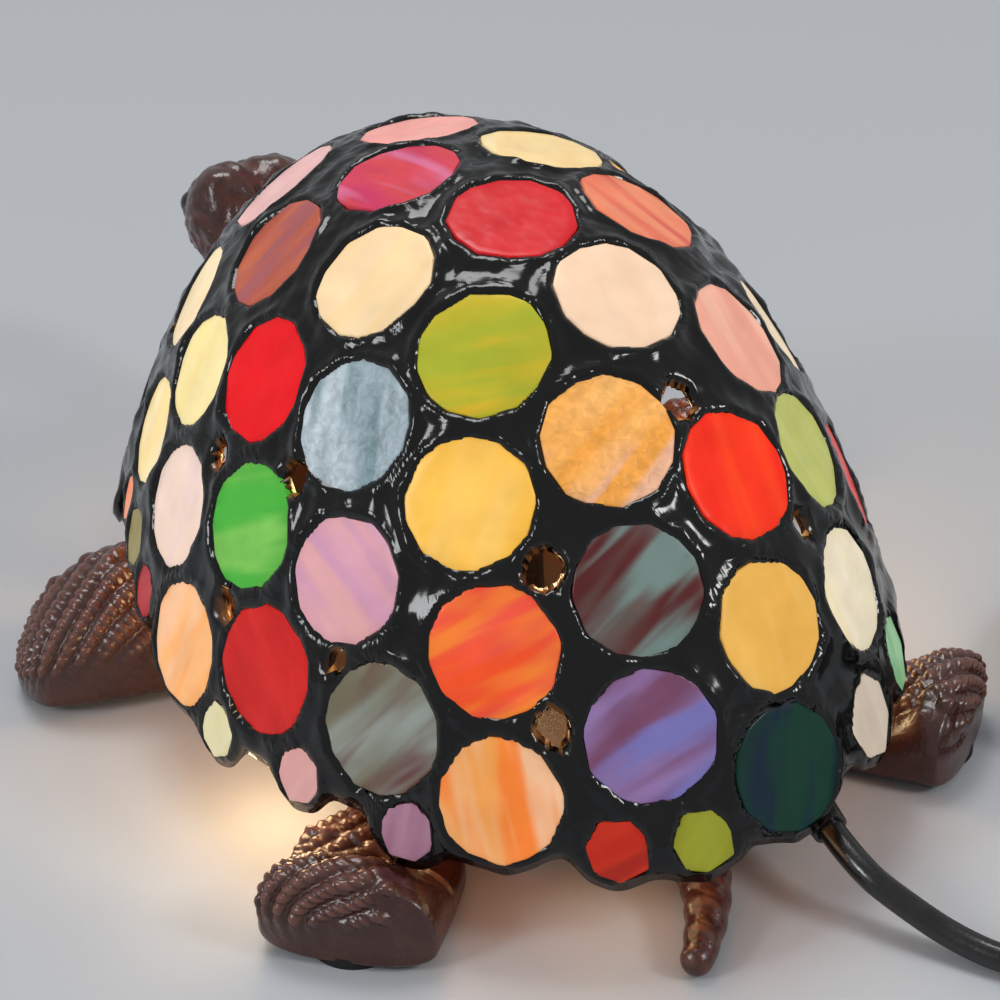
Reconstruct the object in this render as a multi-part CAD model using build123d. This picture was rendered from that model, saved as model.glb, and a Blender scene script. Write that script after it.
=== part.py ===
from build123d import *
import math
import os

# Glass tortoise lamp in millimetres: a cast body carries a soldered glass shell over a small bulb.
# Frame: +Z up, floor at z = 0, head towards -Y, origin midway between snout and tail tip.

# Driving sizes of the whole lamp
head_reach = 150.0          # shell centre to snout
tail_reach = 112.0          # shell centre to tail tip
shell_y = (head_reach - tail_reach) / 2
overrun = 4.0               # how far every cutter runs past what it cuts
fit_clearance = 0.15        # between pieces that seat in one another
seat_gap = 0.25             # between pieces that lift or turn apart

# Glass shell: an oval dome of flat glass pieces in a soldered web
shell_width = 150.0
shell_length = 210.0
shell_top = 110.4
shell_foot = 13.8
shell_power = 2.44
shell_cut_share = 0.79      # how far down the full round the shell is cut off
shell_end_share = 1.02      # the blank runs a little past the rim
dome_stations = 12
came_proud = 2.2            # solder above the middle of the glass
came_inner = 2.4            # solder below the middle of the glass, at the ends
glass_diameter = 22.4
glass_thickness = 2.8
glass_sink = 0.7
glass_clearance = 0.12
glass_sides = 12
chip_sides = 8
rim_border = 2.6            # solder round the lowest pieces
rim_flat_share = 0.45       # flat foot of each scallop beside its half width
rim_trim_height = 28.0
gap_hole_diameter = 5.6     # open corners where three discs meet

# Glass discs that stand in the open, from the crown down: colour, turn in degrees,
# share of the way from crown to rim, share of the full diameter
disc_shares = [
    ("pink", 272, 0.20, 1.00), ("cream", 177, 0.20, 1.00), ("pink", 1, 0.19, 1.00),
    ("orange", 143, 0.38, 1.00), ("red", 79, 0.25, 1.00),
    ("orange", -8, 0.49, 1.00), ("cream", 28, 0.43, 1.00), ("cream", 101, 0.45, 1.00),
    ("pink", 131, 0.60, 1.00), ("green", 59, 0.51, 1.00), ("pink", -38, 0.45, 1.00),
    ("cream", -28, 0.67, 0.96), ("cream", -8, 0.70, 0.96), ("red", 11, 0.65, 1.00),
    ("cream", -17, 0.82, 0.94), ("slate", 33, 0.645, 1.00), ("amber", 83, 0.625, 1.00),
    ("green", 132, 0.755, 0.96), ("red", 108, 0.70, 1.00), ("amber", 55.5, 0.69, 1.00),
    ("cream", 0, 0.835, 1.00), ("green", 17.5, 0.80, 1.00), ("mauve", 36, 0.80, 0.97),
    ("cream", 126, 0.87, 0.98), ("dark", 82, 0.765, 0.97), ("amber", 103.5, 0.82, 0.98),
    ("red", 58, 0.82, 1.00), ("orange", 9, 0.93, 1.00), ("red", 24.5, 0.90, 1.00),
    ("dark", 42.5, 0.90, 1.00), ("orange", 58.5, 0.925, 0.95), ("mauve", 79, 0.885, 1.00),
    ("dark", 99, 0.93, 0.98), ("cream", 115, 0.95, 0.62), ("green", 131, 0.948, 0.60),
    ("green", -10.5, 0.91, 0.50), ("orange", -18, 0.90, 0.40),
]
# Rows that go on round the far side: share, first and last turn between which they lie, count,
# size share, and the colours that they run through
row_shares = [
    (0.48, 143, 322, 4, 1.00, ("amber", "red", "green", "cream")),
    (0.68, 131, 332, 8, 0.96, ("cream", "mauve", "orange", "slate", "red", "amber", "pink", "green")),
    (0.845, 126, 343, 10, 0.96, ("red", "amber", "green", "cream", "orange")),
    (0.94, 133, 180, 2, 0.80, ("pink", "mauve")),
    (0.94, 200, 266, 3, 0.80, ("cream", "green", "dark")),
    (0.94, 274, 336, 3, 0.80, ("red", "cream", "amber")),
]
# Small chips along the rim: colour, turn, share of the way down, size share
rim_chip_shares = [
    ("red", -3, 0.925, 0.42), ("cream", 17, 0.965, 0.42), ("pink", 33, 0.965, 0.42),
    ("mauve", 50.3, 0.965, 0.42), ("red", 70, 0.968, 0.42), ("green", 89, 0.972, 0.42),
    ("cream", 157.6, 0.965, 0.30), ("orange", 221.7, 0.965, 0.30), ("pink", 238.2, 0.968, 0.30),
    ("green", 300.3, 0.968, 0.30), ("cream", 315.7, 0.965, 0.30),
]
# Open corners left between discs: turn, share
gap_shares = [(67, 0.765), (66, 0.88), (8.5, 0.765), (25.5, 0.73), (35, 0.865), (16.5, 0.875),
              (115, 0.785), (94, 0.56), (43, 0.58), (20, 0.555)]

# Arches in the rim over the neck and the front legs
neck_arch_height = 36.0
neck_arch_radius = 17.0
leg_arch_height = 30.0
leg_arch_radius = 24.0

# Belly pan: an oval cast dish with an upstanding lip that the shell's lugs rest on
pan_width = 104.0
pan_length = 160.0
pan_clearance = 10.0        # floor to the underside
pan_floor = 3.0
pan_lip = 3.0
pan_lip_height = 9.0
pan_top = pan_clearance + pan_floor
lip_top = pan_top + pan_lip_height

# Cast legs
sole_height = 2.0           # the pads under the feet
tongue_thickness = 6.0
tongue_width = 18.0
tongue_back = 9.0
front_root = (34.0, -20.0)
front_angle = -20.0
front_reach = 59.5
front_paw_width = 34.0
front_paw_height = 28.0
rear_root = (31.0, 36.0)
rear_angle = 50.0
rear_reach = 54.0
rear_paw_width = 34.0
rear_paw_height = 19.2
paw_shoulder_share = 0.45
# Stations out along a leg: share of its reach, of its paw's width and of its paw's height
front_paw_shares = [(0.31, 0.52, 0.35), (0.42, 0.76, 0.72), (0.60, 0.94, 0.98),
                    (0.78, 1.00, 0.82), (0.92, 0.88, 0.56), (1.00, 0.60, 0.30)]
rear_paw_shares = [(0.34, 0.52, 0.49), (0.48, 0.72, 0.58), (0.70, 0.92, 0.60),
                   (0.86, 1.00, 0.98), (0.95, 0.90, 0.84), (1.00, 0.62, 0.42)]
pad_length = 24.0
pad_width = 20.0
front_pad_share = 0.76
rear_pad_share = 0.78

# Neck and head
head_top = 67.0
head_width = 31.0
neck_tongue_back = 52.0     # shell centre to the end of the tongue under the pan
# Stations: reach share, height share, half width share, half depth share, climb in degrees
neck_shares = [(0.553, 0.104, 0.27, 0.080, 0), (0.63, 0.19, 0.33, 0.22, 28),
               (0.70, 0.32, 0.33, 0.27, 48), (0.76, 0.50, 0.34, 0.30, 66),
               (0.81, 0.68, 0.42, 0.37, 50), (0.862, 0.785, 0.50, 0.425, 18),
               (0.927, 0.775, 0.45, 0.375, -6), (0.976, 0.735, 0.31, 0.25, -14),
               (1.00, 0.71, 0.14, 0.11, -16)]
brow_diameter = 15.0
brow_shares = (0.26, 0.845, 0.875)      # aside of the head's width, along the reach, up to the top
eye_diameter = 9.0
eye_shares = (0.40, 0.925, 0.83)

# Tail
tail_rise = 13.0            # highest point of the tail
tail_curl = 14.5            # how far the tip swings aside
tail_root_share = 0.725     # of its reach, where it comes out from under the pan
tail_ribs = 6
tail_rib_swell_share = 0.10
tail_tip_share = 0.45

# Screws that hold legs, neck and tail up against the pan
screw_diameter = 4.0
screw_head_diameter = 7.4
screw_head_height = 2.4
screw_boss_diameter = 9.0
screw_boss_height = 5.0

# Lampholder for a small screw base, on a threaded tube through the pan
nipple_diameter = 9.6
nipple_bore = 6.0
nipple_below = 5.0
nipple_grip = 5.0           # thread inside the lampholder's floor
nut_across = 14.0
nut_thickness = 3.0
washer_diameter = 17.0
washer_thickness = 1.0
holder_diameter = 23.0
holder_height = 29.0
holder_floor = 7.0
holder_flange_diameter = 30.0
holder_flange_height = 4.0
thread_shell_bore = 12.2
thread_shell_wall = 0.7
thread_shell_height = 17.0
holder_bore = thread_shell_bore + 2 * thread_shell_wall + 2 * fit_clearance
contact_diameter = 7.0
contact_height = 1.2
lead_wire_diameter = 1.8
lead_wire_height = 21.5
lead_wire_spread = 5.0
lead_wire_gap_share = 0.6    # half the gap between the two wires at the lead, beside a wire

# Bulb
cap_diameter = 11.7
cap_height = 16.0
tip_diameter = 5.4
tip_height = 1.8
bulb_diameter = 23.0
bulb_height = 40.0
bulb_neck_diameter = 10.6
bulb_wall = 0.8
stem_diameter = 4.0
stem_height = 14.0
filament_wire = 0.6
filament_span = 7.0
filament_height = 8.0

# Lugs soldered inside the shell
lug_width = 9.0
lug_thickness = 1.6
lug_upright = 12.0
lug_turns = (38, 142, 218, 322)
lug_wall_share = 0.97       # how far out a strap starts before the dome cuts it off

# Cord: a round lead, its tapered boot, an in-line switch, a tied coil and a plug
cord_diameter = 5.0
boot_length = 20.0
boot_root_diameter = 9.6
boot_tip_diameter = 6.6
boot_flange_diameter = 11.4
boot_flange_thickness = 2.0
boot_plug_diameter = 7.6
gate_width = 16.0
gate_depth = 9.0
gate_height = 12.0
gate_x = -20.0
gate_reach = 78.5           # shell centre to the face that the boot seats on
gate_z = 17.0
gate_tilt = 13.0            # the lead points down towards the floor
switch_length = 54.0
switch_width = 23.0
switch_height = 16.0
switch_corner = 7.0
switch_edge = 1.6
rocker_length = 17.0
rocker_width = 9.0
rocker_height = 8.0
rocker_swing = 11.0         # degrees each way from level
rocker_pin_diameter = 2.4
rocker_well_depth = 7.0
rocker_room = 0.8           # at either end of the rocker in its well
rocker_pin_share = 0.75      # pin below the cover, beside its diameter
rocker_half_share = 0.4      # half the rocker's profile beside its height
plug_length = 30.0
plug_width = 24.0
plug_neck_length = 12.0
plug_neck_diameter = 8.0
plug_edge = 2.4
blade_length = 17.5
blade_width = 6.3
blade_thickness = 1.5
blade_spacing = 12.7
switch_tail = 10.0          # straight lead at either end of the switch
plug_lead = 20.0            # straight lead between coil and plug
arc_share = 0.45            # of a run that the arc at its corner takes
coil_pitch = 5.6
coil_layer_pitch = 5.6
coil_half_turns = 7
coil_outer_radius = 38.6
tie_width = 7.0
tie_thickness = 1.2
tie_clearance = 0.7
coil_low = tie_thickness + fit_clearance + cord_diameter / 2
coil_high = coil_low + coil_layer_pitch
plug_height = 2 * coil_high

# Lead from the boot to the switch, lying down on to the floor
lead_route = [(-22.4, 134.8, 6.9), (-27.2, 144.4, 3.2), (-34.6, 153.4, 2.6), (-45.0, 160.6, 3.4),
              (-57.5, 164.2, 6.0)]
switch_start = (-80.0, 165.0, 8.0)
# Link from the switch round to the coil
link_route = [(-154.6, 160.6, 6.4), (-162.8, 152.5, 4.8), (-167.2, 141.8, 3.9)]
coil_centre = (-128.6, 106.0)


def shell_drop(share):
    """How far the middle of the glass lies below the crown at a share of the way out."""
    full = 1 - (1 - shell_cut_share ** shell_power) ** (1 / shell_power)
    here = 1 - (1 - (shell_cut_share * share) ** shell_power) ** (1 / shell_power)
    return (shell_top - shell_foot) * here / full


def shell_plane(turn, share, lift=0.0):
    """Plane that lies on the middle of the glass, its Z outwards."""
    angle = math.radians(turn)
    half_width, half_length = shell_width / 2, shell_length / 2
    step = share / glass_sides / glass_sides
    fall = (shell_drop(share + step) - shell_drop(share - step)) / (2 * step)
    normal = Vector(fall * half_length * math.cos(angle), fall * half_width * math.sin(angle),
                    half_width * half_length).normalized()
    along = Vector(-half_width * math.sin(angle), half_length * math.cos(angle), 0)
    point = Vector(share * half_width * math.cos(angle),
                   shell_y + share * half_length * math.sin(angle), shell_top - shell_drop(share))
    return Plane(origin=point + normal * lift, x_dir=along, z_dir=normal)


def row_turns(first, last, count):
    """Turns that divide an oval row into equal lengths between two given turns."""
    steps = 720
    turns = [first + (last - first) * i / steps for i in range(steps + 1)]
    lengths = [0.0]
    for a, b in zip(turns, turns[1:]):
        middle = math.radians((a + b) / 2)
        lengths.append(lengths[-1] + math.hypot(shell_width * math.sin(middle),
                                                shell_length * math.cos(middle)))
    marks = [lengths[-1] * (i + 1) / (count + 1) for i in range(count)]
    return [next(t for t, length in zip(turns, lengths) if length >= mark) for mark in marks]


def all_glass():
    """Every glass piece as colour, turn, share, size share and number of sides."""
    pieces = [(*disc, glass_sides) for disc in disc_shares]
    for share, first, last, count, size, colours in row_shares:
        for i, turn in enumerate(row_turns(first, last, count)):
            pieces.append((colours[i % len(colours)], turn, share, size, glass_sides))
    pieces += [(*chip, chip_sides) for chip in rim_chip_shares]
    return pieces


def across_shell(turn, share, radius, sides, below, above):
    """Many-sided prism carried square through the shell, from below the glass's middle to above."""
    outline = shell_plane(turn, share, -below) * RegularPolygon(radius, sides)
    return extrude(outline, below + above)


def dome_curve(offset):
    """Half outline that lies offset outside the middle of the glass, from the crown to the rim."""
    tall = (shell_top + offset - shell_foot) / (shell_top - shell_foot)
    shares = [shell_end_share * i / dome_stations for i in range(dome_stations + 1)]
    points = [(share * (shell_length / 2 + offset), 0, shell_top + offset - tall * shell_drop(share))
              for share in shares]
    return Spline(*points), points[0], points[-1]


def dome_skin(outside, inside):
    """Oval shell between two offsets from the middle of the glass."""
    outer, outer_top, outer_end = dome_curve(outside)
    inner, inner_top, inner_end = dome_curve(inside)
    edges = outer + Line(outer_end, inner_end) + inner + Line(inner_top, outer_top)
    narrow = (shell_width / 2 + outside) / (shell_length / 2 + outside)
    return Pos(0, shell_y, 0) * scale(revolve(make_face(edges), Axis.Z), by=(narrow, 1, 1))


def dome_room(offset):
    """The whole room under an oval dome that lies offset from the middle of the glass."""
    curve, top, end = dome_curve(offset)
    edges = curve + Line(end, (0, 0, end[2])) + Line((0, 0, end[2]), top)
    narrow = (shell_width / 2 + offset) / (shell_length / 2 + offset)
    return Pos(0, shell_y, 0) * scale(revolve(make_face(edges), Axis.Z), by=(narrow, 1, 1))


def rim_arch(direction, width, height):
    """Round-topped cutter that lies along a direction in plan and opens the rim to a height."""
    reach = shell_length
    plane = Plane(origin=(0, shell_y, 0), x_dir=(-direction[1], direction[0], 0),
                  z_dir=(direction[0], direction[1], 0))
    up = height - width
    outline = Pos(0, up) * Circle(width) + Pos(0, up - height) * Rectangle(2 * width, 2 * height)
    return extrude(plane * outline, reach)


def rim_cutters():
    """Cutters that trim the rim to the lowest glass pieces, with a notch between neighbours."""
    radius = glass_diameter / 2
    low = []
    for colour, turn, share, size, sides in all_glass():
        middle = shell_plane(turn, share).origin
        reach = radius * size + rim_border
        if middle.Z - reach < rim_trim_height:
            low.append((turn % 360, middle, reach))
    low.sort(key=lambda piece: piece[0])
    cutters = []
    for (turn, here, reach), (next_turn, there, next_reach) in zip(low, low[1:] + low[:1]):
        along = Vector(there.X - here.X, there.Y - here.Y, 0)
        half = along.length / 2
        centre = (here + there) * 0.5
        plane = Plane(origin=(centre.X, centre.Y, 0), x_dir=along, z_dir=along.rotate(Axis.Z, -90))
        foot, next_foot = here.Z - reach, there.Z - next_reach
        left, right = min(rim_flat_share * reach - half, 0), max(half - rim_flat_share * next_reach, 0)
        wide = half > glass_diameter
        peak = rim_trim_height if wide else min(max(foot, next_foot) + rim_border, rim_trim_height)
        flat_top = [(left + rim_border, peak), (right - rim_border, peak)]
        tops = flat_top if wide else [((left + right) / 2, peak)]
        corners = [(-half - rim_border, foot), (left, foot), *tops, (right, next_foot),
                   (half + rim_border, next_foot), (half + rim_border, -overrun),
                   (-half - rim_border, -overrun)]
        cutters.append(extrude(plane * make_face(Polyline(*corners, close=True)), glass_diameter, both=True))
    return cutters


def solder_web():
    """The soldered web: the dome's wall, its rim trimmed and arched, opened for every piece of glass."""
    wall = dome_skin(came_proud, -came_inner)
    leg_way = math.radians(front_angle)
    ways = [(math.cos(leg_way), math.sin(leg_way)), (-math.cos(leg_way), math.sin(leg_way))]
    cutters = [rim_arch(way, leg_arch_radius, leg_arch_height) for way in ways]
    cutters.append(rim_arch((0, -1), neck_arch_radius, neck_arch_height))
    radius = glass_diameter / 2
    below, above = 2 * came_inner, came_proud + fit_clearance
    holes = [across_shell(turn, share, radius * size, sides, below, above)
             for colour, turn, share, size, sides in all_glass()]
    holes += [across_shell(turn, share, gap_hole_diameter / 2, chip_sides, below, above)
              for turn, share in gap_shares]
    web = wall - rim_cutters() - cutters - holes
    return web.solids().sort_by(SortBy.VOLUME)[-1]


def glass_of(wanted):
    """All glass pieces of one colour, each a separate flat solid."""
    radius = glass_diameter / 2
    below, above = glass_thickness / 2 + glass_sink, glass_thickness / 2 - glass_sink
    return [across_shell(turn, share, radius * size - glass_clearance, sides, below, above)
            for colour, turn, share, size, sides in all_glass() if colour == wanted]


def shade_lug(turn):
    """Bent strap soldered to the inside of the web, its foot over the lip of the pan."""
    angle = math.radians(turn)
    outside = came_inner + fit_clearance
    wall = Vector(lug_wall_share * shell_width / 2 * math.cos(angle),
                  lug_wall_share * shell_length / 2 * math.sin(angle))
    lip = Vector((pan_width / 2 - pan_lip) * math.cos(angle), (pan_length / 2 - pan_lip) * math.sin(angle))
    length = (wall - lip).length
    place = Plane(origin=(lip.X, shell_y + lip.Y, lip_top + seat_gap), x_dir=wall - lip, z_dir=(0, 0, 1))
    foot = Pos(length / 2, 0, lug_thickness / 2) * Box(length, lug_width, lug_thickness)
    strap = Pos(length, 0, lug_upright / 2) * Box(length, lug_width, lug_upright)
    room = dome_room(-outside)
    return (place * foot & room) + ((place * strap & room) - dome_room(-outside - lug_thickness))


def upright(place, diameter, height):
    """Cylinder that stands on a point."""
    return Pos(*place) * extrude(Circle(diameter / 2), height)


def tube_along(points, diameter, radii):
    """Round tube along straight runs joined by tangent arcs; returns the solid and its length."""
    path = FilletPolyline(*points, radius=radii) if radii else Polyline(*points)
    tube = sweep(Plane(origin=path @ 0, z_dir=path % 0) * Circle(diameter / 2), path=path)
    return tube, path.length


def run_radii(points):
    """For each corner, the largest arc that its two runs allow."""
    corners = [Vector(*p) for p in points]
    radii = []
    for a, b, c in zip(corners, corners[1:], corners[2:]):
        half_turn = math.radians((b - a).get_angle(c - b)) / 2
        radii.append(arc_share * min((b - a).length, (c - b).length) / math.tan(half_turn))
    return radii


def report_tube(name, tube, length, radii):
    """Print a tube's length, least bend and volume beside its section times its length."""
    section = math.pi * cord_diameter ** 2 / 4
    print(f"{name}: length {length:.1f}, radii {[round(r, 1) for r in radii]},"
          f" volume {tube.volume:.0f} of {section * length:.0f}")


# Screws and where they stand, in plan from the shell's centre
neck_screw = (0.0, -62.0)
tail_screw = (0.0, 62.0)
screw_points = [(side * root[0], root[1]) for root in (front_root, rear_root) for side in (1, -1)]
screw_points += [neck_screw, tail_screw]
tongue_bottom = pan_clearance - tongue_thickness
screw_hole = screw_diameter + 2 * fit_clearance
screw_length = tongue_thickness + pan_floor + screw_boss_height

# Axis of the lead where it leaves the body
gate_way = Vector(0, math.cos(math.radians(gate_tilt)), -math.sin(math.radians(gate_tilt)))
gate_face = Plane(origin=(gate_x, shell_y + gate_reach, gate_z), x_dir=(1, 0, 0), z_dir=gate_way)


def belly_pan():
    """Oval dish with lip, screw bosses, the middle hole and the gate that the lead leaves by."""
    outline = Ellipse(pan_width / 2, pan_length / 2)
    inside = Ellipse(pan_width / 2 - pan_lip, pan_length / 2 - pan_lip)
    floor = Pos(0, shell_y, pan_clearance) * extrude(outline, pan_floor)
    lip = Pos(0, shell_y, pan_top) * extrude(outline - inside, pan_lip_height)
    pan = floor + lip + gate_face * extrude(Rectangle(gate_width, gate_height), -gate_depth)
    for x, y in screw_points:
        pan += upright((x, shell_y + y, pan_top), screw_boss_diameter, screw_boss_height)
    for x, y in screw_points:
        pan -= upright((x, shell_y + y, pan_clearance), screw_hole, pan_floor + screw_boss_height)
    pan -= upright((0, shell_y, pan_clearance), nipple_diameter + 2 * fit_clearance, pan_floor)
    bore = Circle(boot_plug_diameter / 2 + fit_clearance)
    return pan - gate_face * extrude(bore, gate_depth + overrun, both=True)


def body_screws():
    """One pan-head screw up through each tongue into its boss."""
    screws = []
    for x, y in screw_points:
        base = tongue_bottom - screw_head_height
        head = upright((x, shell_y + y, base), screw_head_diameter, screw_head_height)
        screws.append(head + upright((x, shell_y + y, tongue_bottom), screw_diameter, screw_length))
    return screws


def tongue(start, end, width):
    """Flat tongue under the pan between two places along a local X axis."""
    middle = (pan_clearance + tongue_bottom) / 2
    return Pos((start + end) / 2, 0, middle) * Box(end - start, width, tongue_thickness)


def paw_section(along, width, top):
    """Flat-soled, round-topped section square to a leg."""
    half = width / 2
    shoulder = sole_height + paw_shoulder_share * (top - sole_height)
    corners = [(-half, shoulder), (-half, sole_height), (half, sole_height), (half, shoulder)]
    edges = Polyline(*corners) + ThreePointArc(corners[-1], (0, top), corners[0])
    plane = Plane(origin=(along, 0, 0), x_dir=(0, 1, 0), z_dir=(1, 0, 0))
    return plane * make_face(edges)


def leg_place(root, angle):
    """Frame of a left leg: X out along it, Z up, origin on the floor under its screw."""
    turn = math.radians(angle)
    return Plane(origin=(root[0], shell_y + root[1], 0), x_dir=(math.cos(turn), math.sin(turn), 0))


def leg(root, angle, reach, width, height, shares):
    """Cast left leg: a paw lofted through its stations and a tongue with its screw hole."""
    sections = [paw_section(reach * a, width * w, height * h) for a, w, h in shares]
    solid = loft(sections) + tongue(-tongue_back, reach * shares[1][0], tongue_width)
    solid -= upright((0, 0, tongue_bottom), screw_hole, tongue_thickness)
    return leg_place(root, angle) * solid


def foot_pad(root, angle, along):
    """Thin oval pad under a left paw."""
    return leg_place(root, angle) * Pos(along, 0, 0) * extrude(Ellipse(pad_length / 2, pad_width / 2),
                                                              sole_height)


def head_and_neck():
    """Neck that rises out from under the pan into the head, with brows and eyes."""
    sections = []
    for along, up, wide, deep, climb in neck_shares:
        way = math.radians(climb)
        plane = Plane(origin=(0, shell_y - head_reach * along, head_top * up), x_dir=(1, 0, 0),
                      z_dir=(0, -math.cos(way), math.sin(way)))
        sections.append(plane * Ellipse(head_width * wide, head_width * deep))
    solid = loft(sections)
    for shares, diameter in ((brow_shares, brow_diameter), (eye_shares, eye_diameter)):
        aside, along, up = shares
        for side in (1, -1):
            solid += Pos(side * head_width * aside, shell_y - head_reach * along,
                         head_top * up) * Sphere(diameter / 2)
    forward = Plane(origin=(0, shell_y, 0), x_dir=(0, -1, 0))
    neck_root = head_reach * neck_shares[0][0] + tongue_thickness / 2
    solid += forward * tongue(neck_tongue_back, neck_root, tongue_width)
    x, y = neck_screw
    return solid - upright((x, shell_y + y, tongue_bottom), screw_hole, tongue_thickness)


def tail():
    """Tapering ribbed tail that swings aside, on a tongue under the pan."""
    root_radius = tail_rise - pan_clearance + tongue_thickness / 2
    tip_radius = root_radius * tail_tip_share
    root_y = tail_reach * tail_root_share
    run = tail_reach - tip_radius - root_y
    fall = tail_rise - root_radius - tip_radius - fit_clearance
    stations = 2 * tail_ribs + 1
    sections = []
    for i in range(stations):
        k = i / (stations - 1)
        swell = 1 + tail_rib_swell_share * (1 if i % 2 else -1)
        radius = (root_radius + (tip_radius - root_radius) * k) * swell
        way = Vector(2 * tail_curl * k, run, -fall)
        place = (tail_curl * k * k, shell_y + root_y + run * k, tail_rise - root_radius - fall * k)
        sections.append(Plane(origin=place, x_dir=(run, -2 * tail_curl * k, 0), z_dir=way) * Circle(radius))
        end = place
    solid = loft(sections, ruled=True) + Pos(*end) * Sphere(tip_radius)
    backward = Plane(origin=(0, shell_y, 0), x_dir=(0, 1, 0))
    start = tail_screw[1] - tongue_back
    solid += backward * tongue(start, root_y + tip_radius, 2 * root_radius)
    x, y = tail_screw
    return solid - upright((x, shell_y + y, tongue_bottom), screw_hole, tongue_thickness)


# Heights up the lampholder and bulb
holder_top = pan_top + holder_height
holder_seat = pan_top + holder_floor
nipple_top = pan_top + nipple_grip - fit_clearance
tip_bottom = holder_seat + contact_height + seat_gap
cap_bottom = tip_bottom + tip_height
cap_top = cap_bottom + cap_height
holder_at = (0, shell_y)


def lampholder():
    """The pieces of the lampholder, by node name."""
    hole = nipple_diameter + 2 * fit_clearance
    low = pan_clearance - nipple_below
    nipple = upright((*holder_at, low), nipple_diameter, nipple_top - low)
    nipple -= upright((*holder_at, low), nipple_bore, nipple_top - low)
    washer_low = pan_clearance - washer_thickness
    washer = upright((*holder_at, washer_low), washer_diameter, washer_thickness)
    washer -= upright((*holder_at, washer_low), hole, washer_thickness)
    nut_low = washer_low - nut_thickness
    nut = Pos(*holder_at, nut_low) * extrude(RegularPolygon(nut_across / 2, 6, major_radius=False),
                                          nut_thickness)
    nut -= upright((*holder_at, nut_low), hole, nut_thickness)
    body = upright((*holder_at, pan_top), holder_diameter, holder_height)
    body += upright((*holder_at, pan_top), holder_flange_diameter, holder_flange_height)
    body -= upright((*holder_at, holder_seat), holder_bore, holder_height)
    body -= upright((*holder_at, pan_top), hole, nipple_grip)
    for x in (-lead_wire_spread / 2, lead_wire_spread / 2):
        hole_plane = Plane(origin=(x, shell_y, lead_wire_height), z_dir=(0, 1, 0))
        body -= hole_plane * extrude(Circle(lead_wire_diameter / 2 + fit_clearance), holder_diameter)
    shell = upright((*holder_at, holder_seat), thread_shell_bore + 2 * thread_shell_wall, thread_shell_height)
    shell -= upright((*holder_at, holder_seat), thread_shell_bore, thread_shell_height)
    contact = upright((*holder_at, holder_seat), contact_diameter, contact_height)
    return {"holder_nipple": nipple, "holder_washer": washer, "holder_nut": nut, "holder_body": body,
            "holder_thread": shell, "holder_contact": contact}


def bulb_outline(inset):
    """Half outline of the bulb's envelope, inset from its outer face."""
    radius = bulb_diameter / 2 - inset
    neck = bulb_neck_diameter / 2 - inset
    tall = bulb_height - inset
    shares = [(0.34, 0.90), (0.55, 1.00), (0.84, 0.72)]
    points = [(neck, 0, 0)] + [(radius * r, 0, tall * z) for z, r in shares] + [(0, 0, tall)]
    edges = Spline(*points, tangents=[(0, 0, 1), (-1, 0, 0)])
    edges += Line(points[-1], (0, 0, 0)) + Line((0, 0, 0), points[0])
    return revolve(make_face(edges), Axis.Z)


def bulb():
    """The pieces of the bulb, by node name."""
    tip = upright((*holder_at, tip_bottom), tip_diameter, tip_height)
    cap = upright((*holder_at, cap_bottom), cap_diameter, cap_height)
    cap = chamfer(cap.faces().sort_by(Axis.Z)[0].edges(), tip_height)
    glass = Pos(*holder_at, cap_top) * (bulb_outline(0) - bulb_outline(bulb_wall))
    stem_top = cap_top + stem_height
    foot, reach = stem_diameter / 4, filament_span / 2
    rise = stem_top + filament_height
    loop = [(-foot, shell_y, stem_top - foot), (-reach, shell_y, rise), (reach, shell_y, rise),
            (foot, shell_y, stem_top - foot)]
    wire, length = tube_along(loop, filament_wire, [2 * filament_wire] * 2)
    filament = upright((*holder_at, cap_top), stem_diameter, stem_height) + wire
    return {"bulb_contact": tip, "bulb_cap": cap, "bulb_glass": glass, "bulb_filament": filament}


def cord_boot():
    """Tapered boot seated on the gate, with the lead's bore."""
    def disc(diameter, away):
        return gate_face.offset(away) * Circle(diameter / 2)
    flange = extrude(disc(boot_flange_diameter, 0), boot_flange_thickness)
    taper = loft([disc(boot_root_diameter, boot_flange_thickness), disc(boot_tip_diameter, boot_length)])
    stub = extrude(disc(boot_plug_diameter, 0), -gate_depth)
    bore = extrude(disc(cord_diameter + 2 * fit_clearance, -gate_depth), gate_depth + boot_length)
    return flange + taper + stub - bore


def holder_leads():
    """Two insulated wires from the end of the lead to the back of the lampholder."""
    inner = gate_face.offset(-2 * gate_depth - lead_wire_diameter / 2).origin
    wires = []
    for side in (-1, 1):
        end_x = side * lead_wire_spread / 2
        start_x = inner.X + side * lead_wire_diameter * lead_wire_gap_share
        entry = shell_y + holder_diameter / 2
        points = [(start_x, inner.Y, inner.Z), (start_x, inner.Y - gate_depth, inner.Z),
                  (end_x, entry + gate_depth, lead_wire_height),
                  (end_x, entry - lead_wire_diameter / 2, lead_wire_height)]
        wires.append(tube_along(points, lead_wire_diameter, [2 * lead_wire_diameter] * 2)[0])
    return wires


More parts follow.
